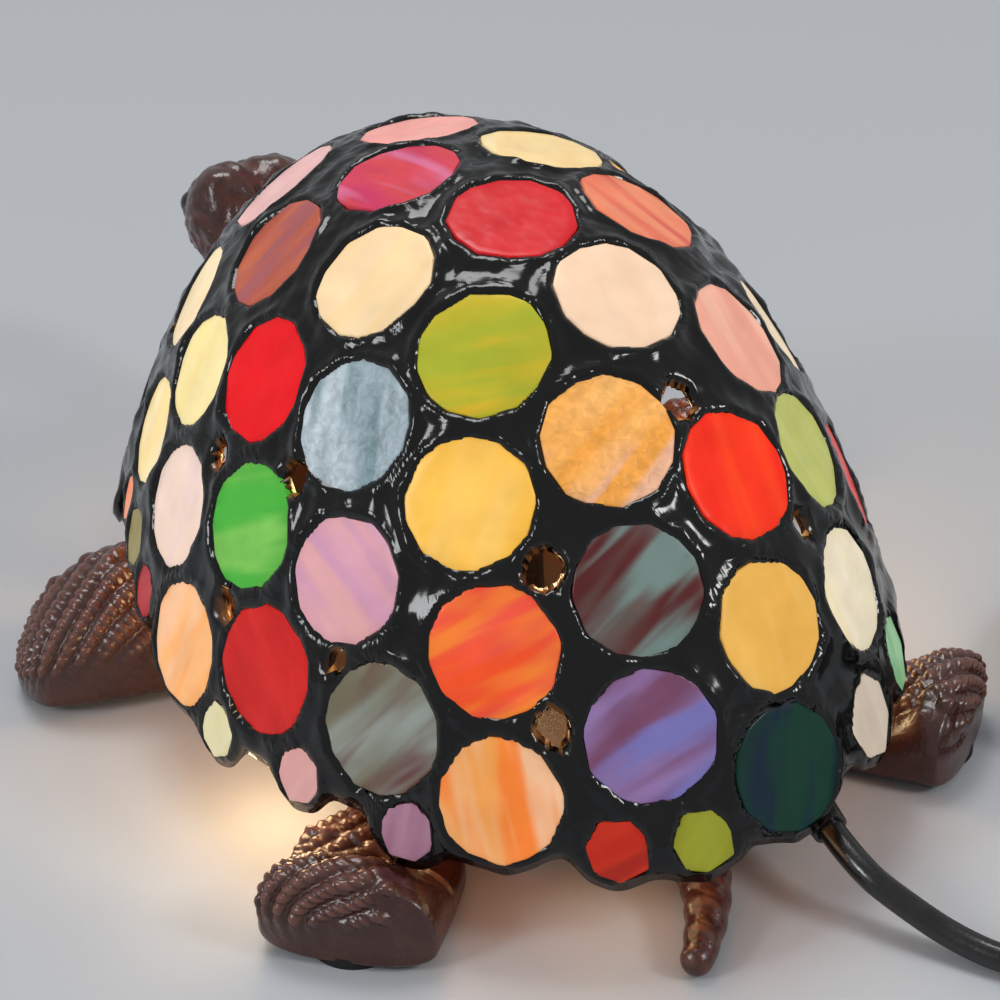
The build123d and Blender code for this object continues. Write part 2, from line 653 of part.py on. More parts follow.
def coil_path():
    """Wound lead: half circles that spiral in, climb a layer in one half turn and spiral out."""
    x = coil_centre[0] - coil_outer_radius
    y = coil_centre[1]
    step = coil_pitch / 2
    inner = coil_outer_radius - coil_half_turns * step
    radii = [coil_outer_radius - k * step for k in range(coil_half_turns)] + [inner]
    radii += [inner + (k + 1) * step for k in range(coil_half_turns + 1)]
    path = Line((x, y + cord_diameter, coil_low), (x, y, coil_low))
    crossings = [x]
    for k, radius in enumerate(radii):
        side = 1 if k % 2 == 0 else -1
        low = coil_low if k <= coil_half_turns else coil_high
        high = coil_low if k < coil_half_turns else coil_high
        ahead = x + side * 2 * radius
        path += ThreePointArc((x, y, low), (x + side * radius, y - side * radius, (low + high) / 2),
                              (ahead, y, high))
        x = ahead
        crossings.append(x)
    path += Line((x, y, coil_high), (x, y - cord_diameter, coil_high))
    return path, crossings


def least_gap(path, diameter):
    """Least gap of a wound tube to itself, measured on points along its middle line."""
    count = int(path.length / (diameter / 2))
    points = [path @ (i / count) for i in range(count + 1)]
    apart = 8
    least = min((a - b).length for i, a in enumerate(points) for b in points[i + apart:])
    return least - diameter


def coil_tie(crossings):
    """Flat band round the bundle of turns on the side towards the lamp."""
    right = [x for k, x in enumerate(crossings) if k % 2]
    margin = cord_diameter / 2 + tie_clearance
    inside, outside = min(right) - margin, max(right) + margin
    height = coil_high - coil_low + cord_diameter + 2 * fit_clearance
    hole = Rectangle(outside - inside, height)
    band = Rectangle(outside - inside + 2 * tie_thickness, height + 2 * tie_thickness)
    plane = Plane(origin=((inside + outside) / 2, coil_centre[1], (coil_low + coil_high) / 2),
                  x_dir=(1, 0, 0), z_dir=(0, -1, 0))
    return plane * extrude(band - hole, tie_width / 2, both=True)


def switch():
    """In-line switch by node name: two halves and a rocker pressed to its on side."""
    x, y, z = switch_start
    centre = (x - switch_length / 2, y, 0)
    half_height = switch_height / 2
    plan = RectangleRounded(switch_length, switch_width, switch_corner)
    base = Pos(*centre) * extrude(plan, half_height)
    base = fillet(base.faces().sort_by(Axis.Z)[0].edges(), switch_edge)
    cover = Pos(centre[0], centre[1], half_height) * extrude(plan, half_height)
    cover = fillet(cover.faces().sort_by(Axis.Z)[-1].edges(), switch_edge)
    well = Rectangle(rocker_length + 2 * rocker_room, rocker_width + 2 * seat_gap)
    cover -= Pos(centre[0], centre[1], switch_height - rocker_well_depth) * extrude(well, switch_height)
    pin_z = switch_height - rocker_pin_diameter * rocker_pin_share
    across = Plane(origin=(centre[0], centre[1], pin_z), x_dir=(1, 0, 0), z_dir=(0, -1, 0))
    pin_length = rocker_width / 2 + rocker_pin_diameter
    cover -= across * extrude(Circle(rocker_pin_diameter / 2 + seat_gap), pin_length + seat_gap, both=True)
    half, rise = rocker_length / 2, rocker_height * rocker_half_share
    profile = make_face(Polyline((-half, -rise), (half, -rise), (half, rise), (0, rise / 2),
                                 (-half, rise), (-half, -rise)))
    rocker = extrude(profile, rocker_width / 2, both=True)
    rocker += extrude(Circle(rocker_pin_diameter / 2), pin_length, both=True)
    return {"switch_base": base, "switch_cover": cover,
            "switch_rocker": across * Rot(0, 0, rocker_swing) * rocker}


def plug(x, y):
    """Moulded two-blade plug that lies with its tapered neck towards the coil."""
    plane = Plane(origin=(x, y, plug_height / 2), x_dir=(1, 0, 0), z_dir=(0, -1, 0))
    neck_end = plane.offset(plug_neck_length)
    neck = loft([plane * Circle(plug_neck_diameter / 2), neck_end * Circle(plug_height / 2 - plug_edge)])
    outline = RectangleRounded(plug_width, plug_height, plug_edge * 2)
    body = neck_end * extrude(outline, plug_length - plug_neck_length)
    body = fillet(body.faces().sort_by(Axis.Y)[-1].edges(), plug_edge)
    blades = []
    for side in (-1, 1):
        blade = Pos(side * blade_spacing / 2, 0) * Rectangle(blade_thickness, blade_width)
        blades.append(plane.offset(plug_length) * extrude(blade, blade_length))
    return body + neck, blades


def nodes():
    """Every sub-part of the lamp by name."""
    parts = {"belly_pan": belly_pan(), "body_screws": body_screws(), "head_and_neck": head_and_neck(),
             "tail": tail()}
    legs = {"front": (front_root, front_angle, front_reach, front_paw_width, front_paw_height,
                      front_paw_shares, front_pad_share),
            "rear": (rear_root, rear_angle, rear_reach, rear_paw_width, rear_paw_height,
                     rear_paw_shares, rear_pad_share)}
    for name, (root, angle, reach, width, height, shares, pad_share) in legs.items():
        left = leg(root, angle, reach, width, height, shares)
        pad = foot_pad(root, angle, reach * pad_share)
        parts[f"leg_{name}_left"] = left
        parts[f"leg_{name}_right"] = mirror(left, about=Plane.YZ)
        parts[f"pad_{name}_left"] = pad
        parts[f"pad_{name}_right"] = mirror(pad, about=Plane.YZ)
    parts["solder_web"] = solder_web()
    for colour in sorted({piece[0] for piece in all_glass()}):
        parts[f"glass_{colour}"] = glass_of(colour)
    parts["shade_lugs"] = [shade_lug(turn) for turn in lug_turns]
    parts.update(lampholder())
    parts["holder_leads"] = holder_leads()
    parts.update(bulb())
    parts["cord_boot"] = cord_boot()
    inner_length = 2 * gate_depth + boot_length
    parts["cord_inner"] = gate_face.offset(-2 * gate_depth) * extrude(Circle(cord_diameter / 2), inner_length)
    x, y, z = switch_start
    exit_point = tuple(gate_face.offset(boot_length).origin)
    exit_run = tuple(gate_face.offset(boot_length + switch_tail).origin)
    lead = [exit_point, exit_run, *lead_route, (x + switch_tail, y, z), switch_start]
    parts["cord_lead"], length = tube_along(lead, cord_diameter, run_radii(lead))
    report_tube("cord_lead", parts["cord_lead"], length, run_radii(lead))
    parts.update(switch())
    path, crossings = coil_path()
    coil_start = (crossings[0], coil_centre[1] + cord_diameter, coil_low)
    x -= switch_length
    coil_run = (crossings[0], coil_start[1] + 2 * cord_diameter, coil_low)
    link = [(x, y, z), (x - switch_tail, y, z), *link_route, coil_run, coil_start]
    parts["cord_link"], length = tube_along(link, cord_diameter, run_radii(link))
    report_tube("cord_link", parts["cord_link"], length, run_radii(link))
    coil = sweep(Plane(origin=path @ 0, z_dir=path % 0) * Circle(cord_diameter / 2), path=path)
    parts["cord_coil"] = coil
    report_tube("cord_coil", coil, path.length, [coil_outer_radius])
    print(f"cord_coil: least gap to itself {least_gap(path, cord_diameter):.2f}")
    parts["cord_tie"] = coil_tie(crossings)
    end = (crossings[-1], coil_centre[1] - cord_diameter - fit_clearance, coil_high)
    plug_y = end[1] - plug_lead
    parts["cord_end"] = tube_along([end, (end[0], plug_y, coil_high)], cord_diameter, [])[0]
    parts["plug_body"], parts["plug_blades"] = plug(end[0], plug_y)
    return parts


os.makedirs("parts", exist_ok=True)
for name, shape in nodes().items():
    solids = shape if isinstance(shape, list) else [shape]
    export_step(Compound(children=solids) if len(solids) > 1 else solids[0], f"parts/{name}.step")
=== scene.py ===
import bmesh
import bpy
import numpy as np
from mathutils import Matrix


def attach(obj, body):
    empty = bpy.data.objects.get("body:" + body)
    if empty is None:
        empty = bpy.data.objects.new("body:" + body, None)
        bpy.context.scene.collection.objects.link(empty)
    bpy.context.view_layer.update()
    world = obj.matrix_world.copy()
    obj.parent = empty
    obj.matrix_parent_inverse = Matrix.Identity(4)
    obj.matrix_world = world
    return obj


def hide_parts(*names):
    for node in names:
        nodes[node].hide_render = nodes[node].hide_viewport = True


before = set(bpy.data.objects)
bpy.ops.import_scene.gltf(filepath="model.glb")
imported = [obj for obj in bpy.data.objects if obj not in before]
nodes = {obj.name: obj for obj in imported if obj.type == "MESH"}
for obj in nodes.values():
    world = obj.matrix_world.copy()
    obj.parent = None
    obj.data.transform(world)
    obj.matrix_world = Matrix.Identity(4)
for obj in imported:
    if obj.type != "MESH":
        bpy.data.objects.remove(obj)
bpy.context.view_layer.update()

# Belly pan: an oval dish cast in zinc alloy and stove painted dark brown, which carries everything.
# The legs, neck and tail are screwed up against its underside, and the shell's lugs sit on its lip.
grain_depth = 0.0004


def colour(red, green, blue):
    """A colour written as it looks, 0 to 255, turned into the linear values that a shader takes."""
    shown = np.array([red, green, blue]) / 255.0
    plain = np.where(shown <= 0.04045, shown / 12.92, ((shown + 0.055) / 1.055) ** 2.4)
    return (*[float(x) for x in plain], 1.0)


def feed(tree, node, inputs):
    """Give each named input of a node a plain value, or a link from another node's output."""
    for name, value in inputs.items():
        if isinstance(value, bpy.types.NodeSocket):
            tree.links.new(value, node.inputs[name])
        else:
            node.inputs[name].default_value = value


def add(tree, kind, output, inputs, **settings):
    """One node, its settings made and its inputs fed; gives back the output that is wanted."""
    node = tree.nodes.new(f"ShaderNode{kind}")
    for name, value in settings.items():
        setattr(node, name, value)
    feed(tree, node, inputs)
    return node.outputs[output]


def own_places(tree):
    """Places in the piece's own coordinates."""
    return add(tree, "TexCoord", "Object", {})


def noise(tree, at, scale, detail=2.0, **more):
    """Cloudy noise, 0 to 1 and mostly about a half, at the given places."""
    return add(tree, "TexNoise", "Fac", {"Vector": at, "Scale": scale, "Detail": detail, **more})


def between(tree, value, low, high, start=0.0, end=1.0, **settings):
    """A value that runs from start to end, brought to run from low to high."""
    ends = {"From Min": start, "From Max": end, "To Min": low, "To Max": high}
    return add(tree, "MapRange", "Result", {"Value": value, **ends}, **settings)


def blend(tree, share, first, second):
    """A colour that goes from the first to the second as the share goes from 0 to 1."""
    return add(tree, "Mix", "Result", {"Factor": share, "A": first, "B": second}, data_type="RGBA")


def bump(tree, height, strength, depth):
    """A normal tilted by the slope of a height."""
    return add(tree, "Bump", "Normal", {"Height": height, "Strength": strength, "Distance": depth})


def finish_of(name, constants):
    """A material with one shader; whatever is the same all over is set on the shader's own sockets."""
    material = bpy.data.materials.new(name)
    material.use_nodes = True
    shader = material.node_tree.nodes["Principled BSDF"]
    feed(material.node_tree, shader, constants)
    return material, material.node_tree, shader


# Mottling: a cloudy mask for colour and roughness, and a fine grain for bump
mottle = bpy.data.node_groups.new("mottle", "ShaderNodeTree")
mottle_sockets = [
    ("INPUT", "Vector", "Vector"), ("INPUT", "Float", "Cloud Scale"), ("INPUT", "Float", "Grain Scale"),
    ("OUTPUT", "Float", "Cloud"), ("OUTPUT", "Float", "Grain")]
for way, kind, label in mottle_sockets:
    mottle.interface.new_socket(name=label, in_out=way, socket_type=f"NodeSocket{kind}")
given = mottle.nodes.new("NodeGroupInput").outputs
cloud = noise(mottle, given["Vector"], given["Cloud Scale"], 4.0, Roughness=0.6)
feed(mottle, mottle.nodes.new("NodeGroupOutput"), {
    "Cloud": between(mottle, cloud, 0.0, 1.0, 0.3, 0.7),
    "Grain": noise(mottle, given["Vector"], given["Grain Scale"])})


def mottling(tree, cloud_scale, grain_scale=0.0):
    """The mottling's cloud and grain over a piece."""
    group = tree.nodes.new("ShaderNodeGroup")
    group.node_tree = mottle
    feed(tree, group, {"Vector": own_places(tree), "Cloud Scale": cloud_scale, "Grain Scale": grain_scale})
    return group.outputs["Cloud"], group.outputs["Grain"]


def mottled(name, dark, light, roughs, scales, lump, constants):
    """A painted, moulded or metal finish: two colours and two roughnesses clouded together, with a grain."""
    material, tree, shader = finish_of(name, constants)
    cloud, grain = mottling(tree, *scales)
    feed(tree, shader, {
        "Base Color": blend(tree, cloud, colour(*dark), colour(*light)),
        "Roughness": between(tree, cloud, *roughs),
        "Normal": bump(tree, grain, lump, grain_depth)})
    return material


def dress(material, *names):
    """Put a finish on CAD nodes that keep their own shape."""
    for name in names:
        nodes[name].data.materials.clear()
        nodes[name].data.materials.append(material)


dress(mottled("pan_paint", (38, 24, 20), (62, 38, 30), (0.42, 0.6), (70, 800), 0.25,
              {"Specular IOR Level": 0.45}), "belly_pan")
dress(mottled("zinc_screws", (150, 150, 152), (196, 196, 198), (0.28, 0.45), (400, 2500), 0.2,
              {"Metallic": 1.0}), "body_screws")

# Lampholder: a black moulded socket on a threaded brass tube, with a brass thread and centre contact.
# Two insulated wires run to it from the cord; nut and washer clamp the tube under the pan.
black_moulding = mottled("black_moulding", (16, 16, 17), (30, 30, 31), (0.34, 0.5), (120, 1400), 0.2,
                         {"Specular IOR Level": 0.5})
brass = mottled("brass", (176, 132, 66), (214, 172, 98), (0.22, 0.4), (150, 2200), 0.15, {"Metallic": 1.0})
dress(black_moulding, "holder_body")
dress(brass, "holder_nipple", "holder_nut", "holder_washer", "holder_thread", "holder_contact")
dress(mottled("white_wire", (196, 192, 182), (224, 221, 212), (0.4, 0.55), (200, 1800), 0.1, {}),
      "holder_leads")

# Bulb: a small clear screw-base bulb, lit, its filament a short bent wire on a glass stem.
# The brass cap threads into the lampholder and ends in a tinned contact.
bulb_tone = (1.0, 0.72, 0.40)
dress(brass, "bulb_cap")
dress(mottled("tinned_tip", (150, 150, 148), (190, 190, 186), (0.3, 0.5), (500, 2500), 0.2,
              {"Metallic": 1.0}), "bulb_contact")
bulb_skin, bulb_tree, bulb_shader = finish_of("bulb_skin", {
    "Base Color": (1.0, 0.97, 0.92, 1.0), "Transmission Weight": 0.9, "IOR": 1.2,
    "Emission Color": (*bulb_tone, 1.0), "Emission Strength": 2.5})
bulb_film = noise(bulb_tree, own_places(bulb_tree), 160.0)
feed(bulb_tree, bulb_shader, {"Roughness": between(bulb_tree, bulb_film, 0.06, 0.2)})
dress(bulb_skin, "bulb_glass")
nodes["bulb_glass"].visible_shadow = False
hot_wire, hot_tree, hot_shader = finish_of("hot_wire", {"Roughness": 0.4, "Emission Strength": 12.0})
hot_tone = blend(hot_tree, noise(hot_tree, own_places(hot_tree), 500.0), (1.0, 0.62, 0.25, 1.0),
                 (1.0, 0.80, 0.50, 1.0))
feed(hot_tree, hot_shader, {"Base Color": hot_tone, "Emission Color": hot_tone})
dress(hot_wire, "bulb_filament")

# Legs: four solid castings, lacquered chocolate brown and rubbed back to red-brown on the raised beads, whose
# lighter brown is partly a painted sheen; towards the root, under the shell, they are painted darker as
# shade.
# Each has a flat tongue under the pan with one screw through it, and stands on a thin felt pad.
shell_y = 0.019
sole = 0.0009
tongue_low, tongue_high = 0.004, 0.010
tongue_half = 0.009
merge_distance = 0.000004
attribute_kinds = {1: ("FLOAT", "value"), 3: ("FLOAT_VECTOR", "vector"), 4: ("FLOAT_COLOR", "color")}


def smooth_between(x, marks, values):
    """Smooth curve through marks: on each span a cubic whose end slopes follow the neighbouring marks."""
    marks, values = np.asarray(marks, float), np.asarray(values, float)
    slopes = np.gradient(values, marks)
    i = np.clip(np.searchsorted(marks, x) - 1, 0, len(marks) - 2)
    width = marks[i + 1] - marks[i]
    k = np.clip((x - marks[i]) / width, 0, 1)
    return (values[i] * (1 + 2 * k) * (1 - k) ** 2 + values[i + 1] * k * k * (3 - 2 * k)
            + slopes[i] * width * k * (1 - k) ** 2 - slopes[i + 1] * width * k * k * (1 - k))


def power(x, exponent):
    """A signed power, for rounded-square sections."""
    return np.sign(x) * np.abs(x) ** exponent


def full_turn(count):
    """Angles that divide a full turn equally."""
    return np.arange(count) * 2 * np.pi / count


def grid_out(points):
    """Unit normals of a grid that is closed round its second axis: the cross of its two differences."""
    along = np.gradient(points, axis=0)
    around = np.roll(points, -1, axis=1) - np.roll(points, 1, axis=1)
    normal = np.cross(around, along)
    return normal / np.maximum(np.linalg.norm(normal, axis=2, keepdims=True), 1e-12)


def tube_faces(rows, columns, start=0):
    """Quads of a grid whose columns run round and whose rows run along it."""
    row, column = np.meshgrid(np.arange(rows - 1), np.arange(columns), indexing="ij")
    here, ahead = row * columns + column, row * columns + (column + 1) % columns
    quads = np.stack([here, ahead, ahead + columns, here + columns], axis=2)
    return quads.reshape(-1, 4) + start


def stand(name, data):
    """A new object in the scene, at the origin."""
    thing = bpy.data.objects.new(name, data)
    bpy.context.scene.collection.objects.link(thing)
    return thing


def piece_from(name, points, faces, body, slot, material, replaced, **values):
    """A mesh piece at the origin with its doubles merged, its point values stored, riding on a body."""
    used, flat = np.unique(faces, return_inverse=True)
    mesh = bpy.data.meshes.new(name)
    mesh.from_pydata(points[used].tolist(), [], flat.reshape(faces.shape).tolist())
    for label, value in values.items():
        kind, field = attribute_kinds[value[0].size]
        mesh.attributes.new(label, kind, "POINT").data.foreach_set(field, value[used].ravel())
    shape = bmesh.new()
    shape.from_mesh(mesh)
    bmesh.ops.remove_doubles(shape, verts=shape.verts, dist=merge_distance)
    shape.to_mesh(mesh)
    shape.free()
    mesh.shade_smooth()
    mesh.materials.append(material)
    piece = stand(name, mesh)
    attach(piece, body)
    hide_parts(*replaced)


def stored(tree, label, output="Fac"):
    """A value that the piece's mesh holds at each point."""
    return add(tree, "Attribute", output, {}, attribute_name=label)


def times_plus(tree, value, factor, extra=0.0):
    """A value times a factor, plus an extra."""
    return add(tree, "Math", "Value", {0: value, 1: factor, 2: extra}, operation="MULTIPLY_ADD")


# Rubbed lacquer: the raised places, held in values stored on each piece, show a warmer and lighter brown,
# partly rubbed finish and partly a painted sheen; the lowest values give the darkest brown, painted shade
# where the legs go in under the shell
lacquer, lacquer_tree, lacquer_shader = finish_of("rubbed_lacquer", {
    "Coat Weight": 0.25, "Coat Roughness": 0.15, "Specular IOR Level": 0.5})
lacquer_cloud, lacquer_grain = mottling(lacquer_tree, 140.0, 1100.0)
# The ramp runs from painted shade, through the red-brown of the hollows and the chocolate of the body, to the
# lighter brown of rubbed places with a painted sheen
lacquer_sheen_and_shade = times_plus(lacquer_tree, lacquer_cloud, 0.2, stored(lacquer_tree, "rub"))
lacquer_tone = add(lacquer_tree, "ValToRGB", "Color", {"Fac": lacquer_sheen_and_shade})
lacquer_steps = lacquer_tone.node.color_ramp.elements
for place in (0.22, 0.5):
    lacquer_steps.new(place)
for step, tone in zip(lacquer_steps, ((30, 16, 12), (88, 35, 22), (58, 28, 21), (106, 64, 51))):
    step.color = colour(*tone)
feed(lacquer_tree, lacquer_shader, {
    "Base Color": lacquer_tone,
    "Roughness": between(lacquer_tree, lacquer_cloud, 0.20, 0.36),
    "Normal": bump(lacquer_tree, lacquer_grain, 0.35, grain_depth)})

ridge_pitch = 0.0070
bead_pitch = 0.0022
bead_height = 0.0014
knob_pitch = 0.0046
crease_at, crease_width, crease_height = 0.024, 0.0008, 0.0007
bar_rows, bar_columns = 4, 24


def beads(along, across):
    """Slanting rows of raised beads: rounded ridges, each broken into small beads, offset row by row."""
    wander = 0.0008 * np.sin(along / 0.006 + 1.0) + 0.0006 * np.sin(across / 0.0045 + along / 0.011)
    row = (along + across + wander) / ridge_pitch
    step = 0.7 * (across - along) / bead_pitch + 0.5 * (np.floor(row) % 2)
    return np.abs(np.sin(np.pi * row)) ** 0.9 * (0.45 + 0.55 * np.abs(np.sin(np.pi * step)) ** 0.7)


def round_length(points, crest):
    """Length round each section of a grid, measured both ways from its crest column."""
    steps = np.roll(np.linalg.norm(np.roll(points, -1, axis=1) - points, axis=2), -crest, axis=1)
    run = np.cumsum(steps, axis=1) - steps
    total = run[:, -1:]
    return np.roll(np.where(run > total / 2, run - total, run), crest, axis=1)


def bar(start, end, half_width):
    """Flat tongue: a rounded-square section carried along a straight line, closed at both ends."""
    turn = full_turn(bar_columns)
    places = np.array([start, start, end, end])
    swell = np.array([0, 1, 1, 0])[:, None]
    y = swell * half_width * power(np.cos(turn), 0.35)[None]
    thick = tongue_high - tongue_low
    z = (tongue_low + tongue_high) / 2 + swell * thick / 2 * power(np.sin(turn), 0.35)[None]
    return np.stack([np.repeat(places[:, None], bar_columns, 1), y, z], axis=2)


def with_tongue(form, tongue, rub):
    """A casting's points and its values of rubbing, painted sheen and painted shade, followed by those of its
    tongue, which isn't rubbed.
    """
    points = np.concatenate([form.reshape(-1, 3), tongue.reshape(-1, 3)])
    return points, np.concatenate([rub.ravel(), np.zeros(bar_rows * bar_columns)])


def leg(name, root, angle, reach, width, height, shares, nail, plain_side):
    """A leg: a flat-soled, round-topped section carried out along it through its stations, beaded above."""
    rows, columns = 150, 168
    out = 1 - (1 - shares[0][0]) * np.linspace(1, 0, rows) ** 2
    marks, wide, high = np.array(shares).T
    half = smooth_between(out, marks, wide * width / 2)
    top = smooth_between(out, marks, high * height)
    nose = np.sqrt(np.clip(1 - np.clip((out - nail) / (1 - nail), 0, 1) ** 2, 0, 1))
    nose[0] = 0
    turn = full_turn(columns)
    middle = sole + 0.42 * (top - sole)
    y = (half * nose ** 0.6)[:, None] * power(np.cos(turn), np.where(np.sin(turn) < 0, 0.35, 0.85))[None]
    rise = ((top - middle) * nose ** 0.7)[:, None] * np.maximum(power(np.sin(turn), 0.9), 0)[None]
    fall = ((middle - sole) * nose ** 0.06)[:, None] * np.minimum(power(np.sin(turn), 0.35), 0)[None]
    x = np.repeat((out * reach)[:, None], columns, 1)
    points = np.stack([x, y, middle[:, None] + rise + fall], axis=2)
    across = plain_side * round_length(points, columns // 4)
    upper = np.clip(np.sin(turn)[None] * 2.4 + 0.3, 0, 1) * np.clip(nose[:, None] * 3, 0, 1)
    run = np.cumsum(np.r_[0, np.hypot(np.diff(out * reach), np.diff(top * nose))])[:, None]
    plain = np.clip((across - 0.003) / 0.005, 0, 1)
    knob = np.maximum(np.sin(np.pi * run / knob_pitch) * np.sin(np.pi * across / knob_pitch), 0) ** 0.7
    knob *= np.exp(-((across - 0.006) / 0.004) ** 2)
    relief = (beads(run, across) * (1 - plain) + knob * plain) * upper
    crease = np.exp(-((run - crease_at - across / 3) / crease_width) ** 2) * upper
    proud = bead_height * (relief - 0.5 * upper) + crease_height * crease
    points = points + grid_out(points) * proud[..., None]
    points[..., 2] = np.maximum(points[..., 2], sole)
    tongue = bar(-tongue_half, reach * shares[1][0], tongue_half)
    # Lighter on the raised beads: rubbed finish with a painted sheen
    leg_sheen_and_shade = 0.5 + upper * (1 - 0.7 * plain) * (0.75 * relief - 0.3) + 0.5 * crease
    # Painted shade: darkest towards the leg's root, under the shell
    leg_sheen_and_shade = leg_sheen_and_shade * np.clip((run - 0.006) / 0.014, 0, 1)
    points, rub = with_tongue(points, tongue, np.clip(leg_sheen_and_shade, 0, 1))
    faces = np.concatenate([tube_faces(rows, columns), tube_faces(bar_rows, bar_columns, rows * columns)])
    way = np.radians(angle)
    x, y, z = points.T
    turned = np.stack([root[0] + x * np.cos(way) - y * np.sin(way),
                       shell_y + root[1] + x * np.sin(way) + y * np.cos(way), z], axis=1)
    for side, sign in (("left", 1), ("right", -1)):
        piece_from(f"{name}_{side}_cast", turned * [sign, 1, 1], faces[:, ::sign], "base", "cast_body",
                   lacquer, [f"leg_{name}_{side}"], rub=rub)


leg("front", (0.034, -0.020), -20, 0.0595, 0.034, 0.028,
    [(0.31, 0.52, 0.35), (0.42, 0.76, 0.72), (0.60, 0.94, 0.98), (0.78, 1.00, 0.82), (0.92, 0.88, 0.56),
     (1.00, 0.60, 0.30)], 0.86, 1)
leg("rear", (0.031, 0.036), 50, 0.054, 0.0325, 0.0192,
    [(0.34, 0.62, 0.49), (0.48, 0.90, 0.58), (0.70, 1.00, 0.62), (0.86, 1.02, 0.92), (0.95, 1.00, 0.90),
     (1.00, 0.94, 0.82)], 0.94, -1)
dress(mottled("felt_pad", (14, 14, 15), (30, 30, 31), (0.85, 0.95), (300, 3000), 0.6, {}),
      "pad_front_left", "pad_front_right", "pad_rear_left", "pad_rear_right")

# Head and neck: one casting that rises from its tongue under the pan into a blunt tortoise head.
# Two rounded brows with a crease between them, small dark eyes, and a skin of low beads and fine warts.
head_reach = 0.150
head_top = 0.067
head_width = 0.031
brow_aside, brow_size, brow_height = 0.0085, 0.0075, 0.0034
brow_crease_width, brow_crease_depth = 0.0014, 0.0012
mouth_level, mouth_width, mouth_depth = 0.05, 0.018, 0.001
# Stations of the neck and head: place along it, height, half width and half depth as shares, climb in degrees
neck_shares = np.array([
    (0.553, 0.104, 0.27, 0.080, 0), (0.63, 0.19, 0.33, 0.22, 28), (0.70, 0.32, 0.33, 0.27, 48),
    (0.76, 0.50, 0.34, 0.30, 66), (0.81, 0.68, 0.42, 0.37, 50), (0.862, 0.785, 0.50, 0.425, 18),
    (0.927, 0.775, 0.45, 0.375, -6), (0.976, 0.735, 0.31, 0.25, -14), (1.00, 0.71, 0.14, 0.11, -16)])


def head_and_neck():
    """Neck and head: an oval section carried along a rising line, swollen at the brows, grooved, beaded."""
    rows, columns = 150, 140
    k = np.linspace(0, 1, rows)
    marks = np.linspace(0, 1, len(neck_shares))
    along, up, wide, deep, climb = [smooth_between(k, marks, neck_shares[:, i]) for i in range(5)]
    climb = np.radians(climb)
    turn = full_turn(columns)
    close = np.where((k == 0) | (k == 1), 0.0, 1.0)[:, None]
    side = close * head_width * wide[:, None] * power(np.cos(turn), 0.9)[None]
    lift = close * head_width * deep[:, None] * power(np.sin(turn), 0.9)[None]
    points = np.stack([side, shell_y - head_reach * along[:, None] + np.sin(climb)[:, None] * lift,
                       head_top * up[:, None] + np.cos(climb)[:, None] * lift], axis=2)
    out = grid_out(points)
    swell = np.zeros((rows, columns))
    for aside in (1, -1):
        brow = np.array([aside * brow_aside, shell_y - head_reach * 0.85, head_top * 0.955])
        swell += brow_height * np.exp(-(np.linalg.norm(points - brow, axis=2) / brow_size) ** 2)
    crease = np.exp(-(points[..., 0] / brow_crease_width) ** 2) * np.clip((k[:, None] - 0.45) * 6, 0, 1)
    crease *= np.clip(np.sin(turn)[None] * 2, 0, 1) * np.clip((0.93 - k[:, None]) * 12, 0, 1)
    mouth = np.exp(-((lift / head_width + mouth_level) / mouth_width) ** 2)
    mouth = mouth * np.clip((k[:, None] - 0.72) * 10, 0, 1)
    run = np.cumsum(np.r_[0, np.hypot(np.diff(along * head_reach), np.diff(up * head_top))])[:, None]
    skin = np.clip((k[:, None] - 0.12) * 8, 0, 1) * np.clip((0.97 - k[:, None]) * 12, 0, 1)
    length = round_length(points, columns // 4)
    warts = np.sin(run / 0.0011 + 1.6 * np.sin(length / 0.0024))
    warts = warts * np.sin(length / 0.0012 + 1.5 * np.sin(run / 0.0027))
    relief = (0.35 * beads(run, length) + 0.4 * np.clip(0.4 + warts, 0, 1)) * skin
    points = points + out * (swell + bead_height * 0.8 * (relief - 0.6 * skin) - brow_crease_depth * crease
                             - mouth_depth * mouth)[..., None]
    # Lighter on beads and brows: rubbed finish with a painted sheen; darker in the brow crease and along the
    # mouth
    rub = np.clip(0.1 + 0.55 * relief + 45 * swell - 0.3 * crease - 0.3 * mouth, 0, 1)
    tongue = bar(0.052, head_reach * 0.60, tongue_half)
    tongue = np.stack([-tongue[..., 1], shell_y - tongue[..., 0], tongue[..., 2]], axis=2)
    points, rub = with_tongue(points, tongue, rub)
    faces = np.concatenate([tube_faces(rows, columns)[:, ::-1],
                            tube_faces(bar_rows, bar_columns, rows * columns)])
    piece_from("head_cast", points, faces, "base", "cast_body", lacquer, ["head_and_neck"], rub=rub)


head_and_neck()
eye_aside, eye_radius = 0.0112, 0.0032
eye_rows, eye_columns = 17, 32


def ball(centre, radius):
    """A sphere as rings from pole to pole."""
    polar = np.linspace(0, np.pi, eye_rows)[:, None]
    turn = full_turn(eye_columns)[None]
    rings = np.stack([np.sin(polar) * np.cos(turn), np.sin(polar) * np.sin(turn),
                      np.cos(polar) + 0 * turn], axis=2)
    return np.asarray(centre) + radius * rings


eye_gloss = mottled("eye_gloss", (10, 8, 8), (22, 16, 14), (0.08, 0.16), (200, 2000), 0.05,
                    {"Coat Weight": 0.6, "Coat Roughness": 0.05})
eye_places = [(side * eye_aside, shell_y - head_reach * 0.925, head_top * 0.83) for side in (1, -1)]
eyes = np.concatenate([ball(place, eye_radius).reshape(-1, 3) for place in eye_places])
eye_faces = np.concatenate([tube_faces(eye_rows, eye_columns, start)[:, ::-1]
                            for start in (0, eye_rows * eye_columns)])
piece_from("head_eyes", eyes, eye_faces, "base", "cast_body", eye_gloss, [])

# Tail: a short casting that swings aside and lies down to the floor, ringed by slanting ridges.
# Its root runs under the pan as a tongue with one screw.
tail_reach = 0.112
tail_root = 0.0812
tail_curl = 0.0145
tail_rise = 0.013
tail_tongue_half = 0.006
tail_ridges = 6


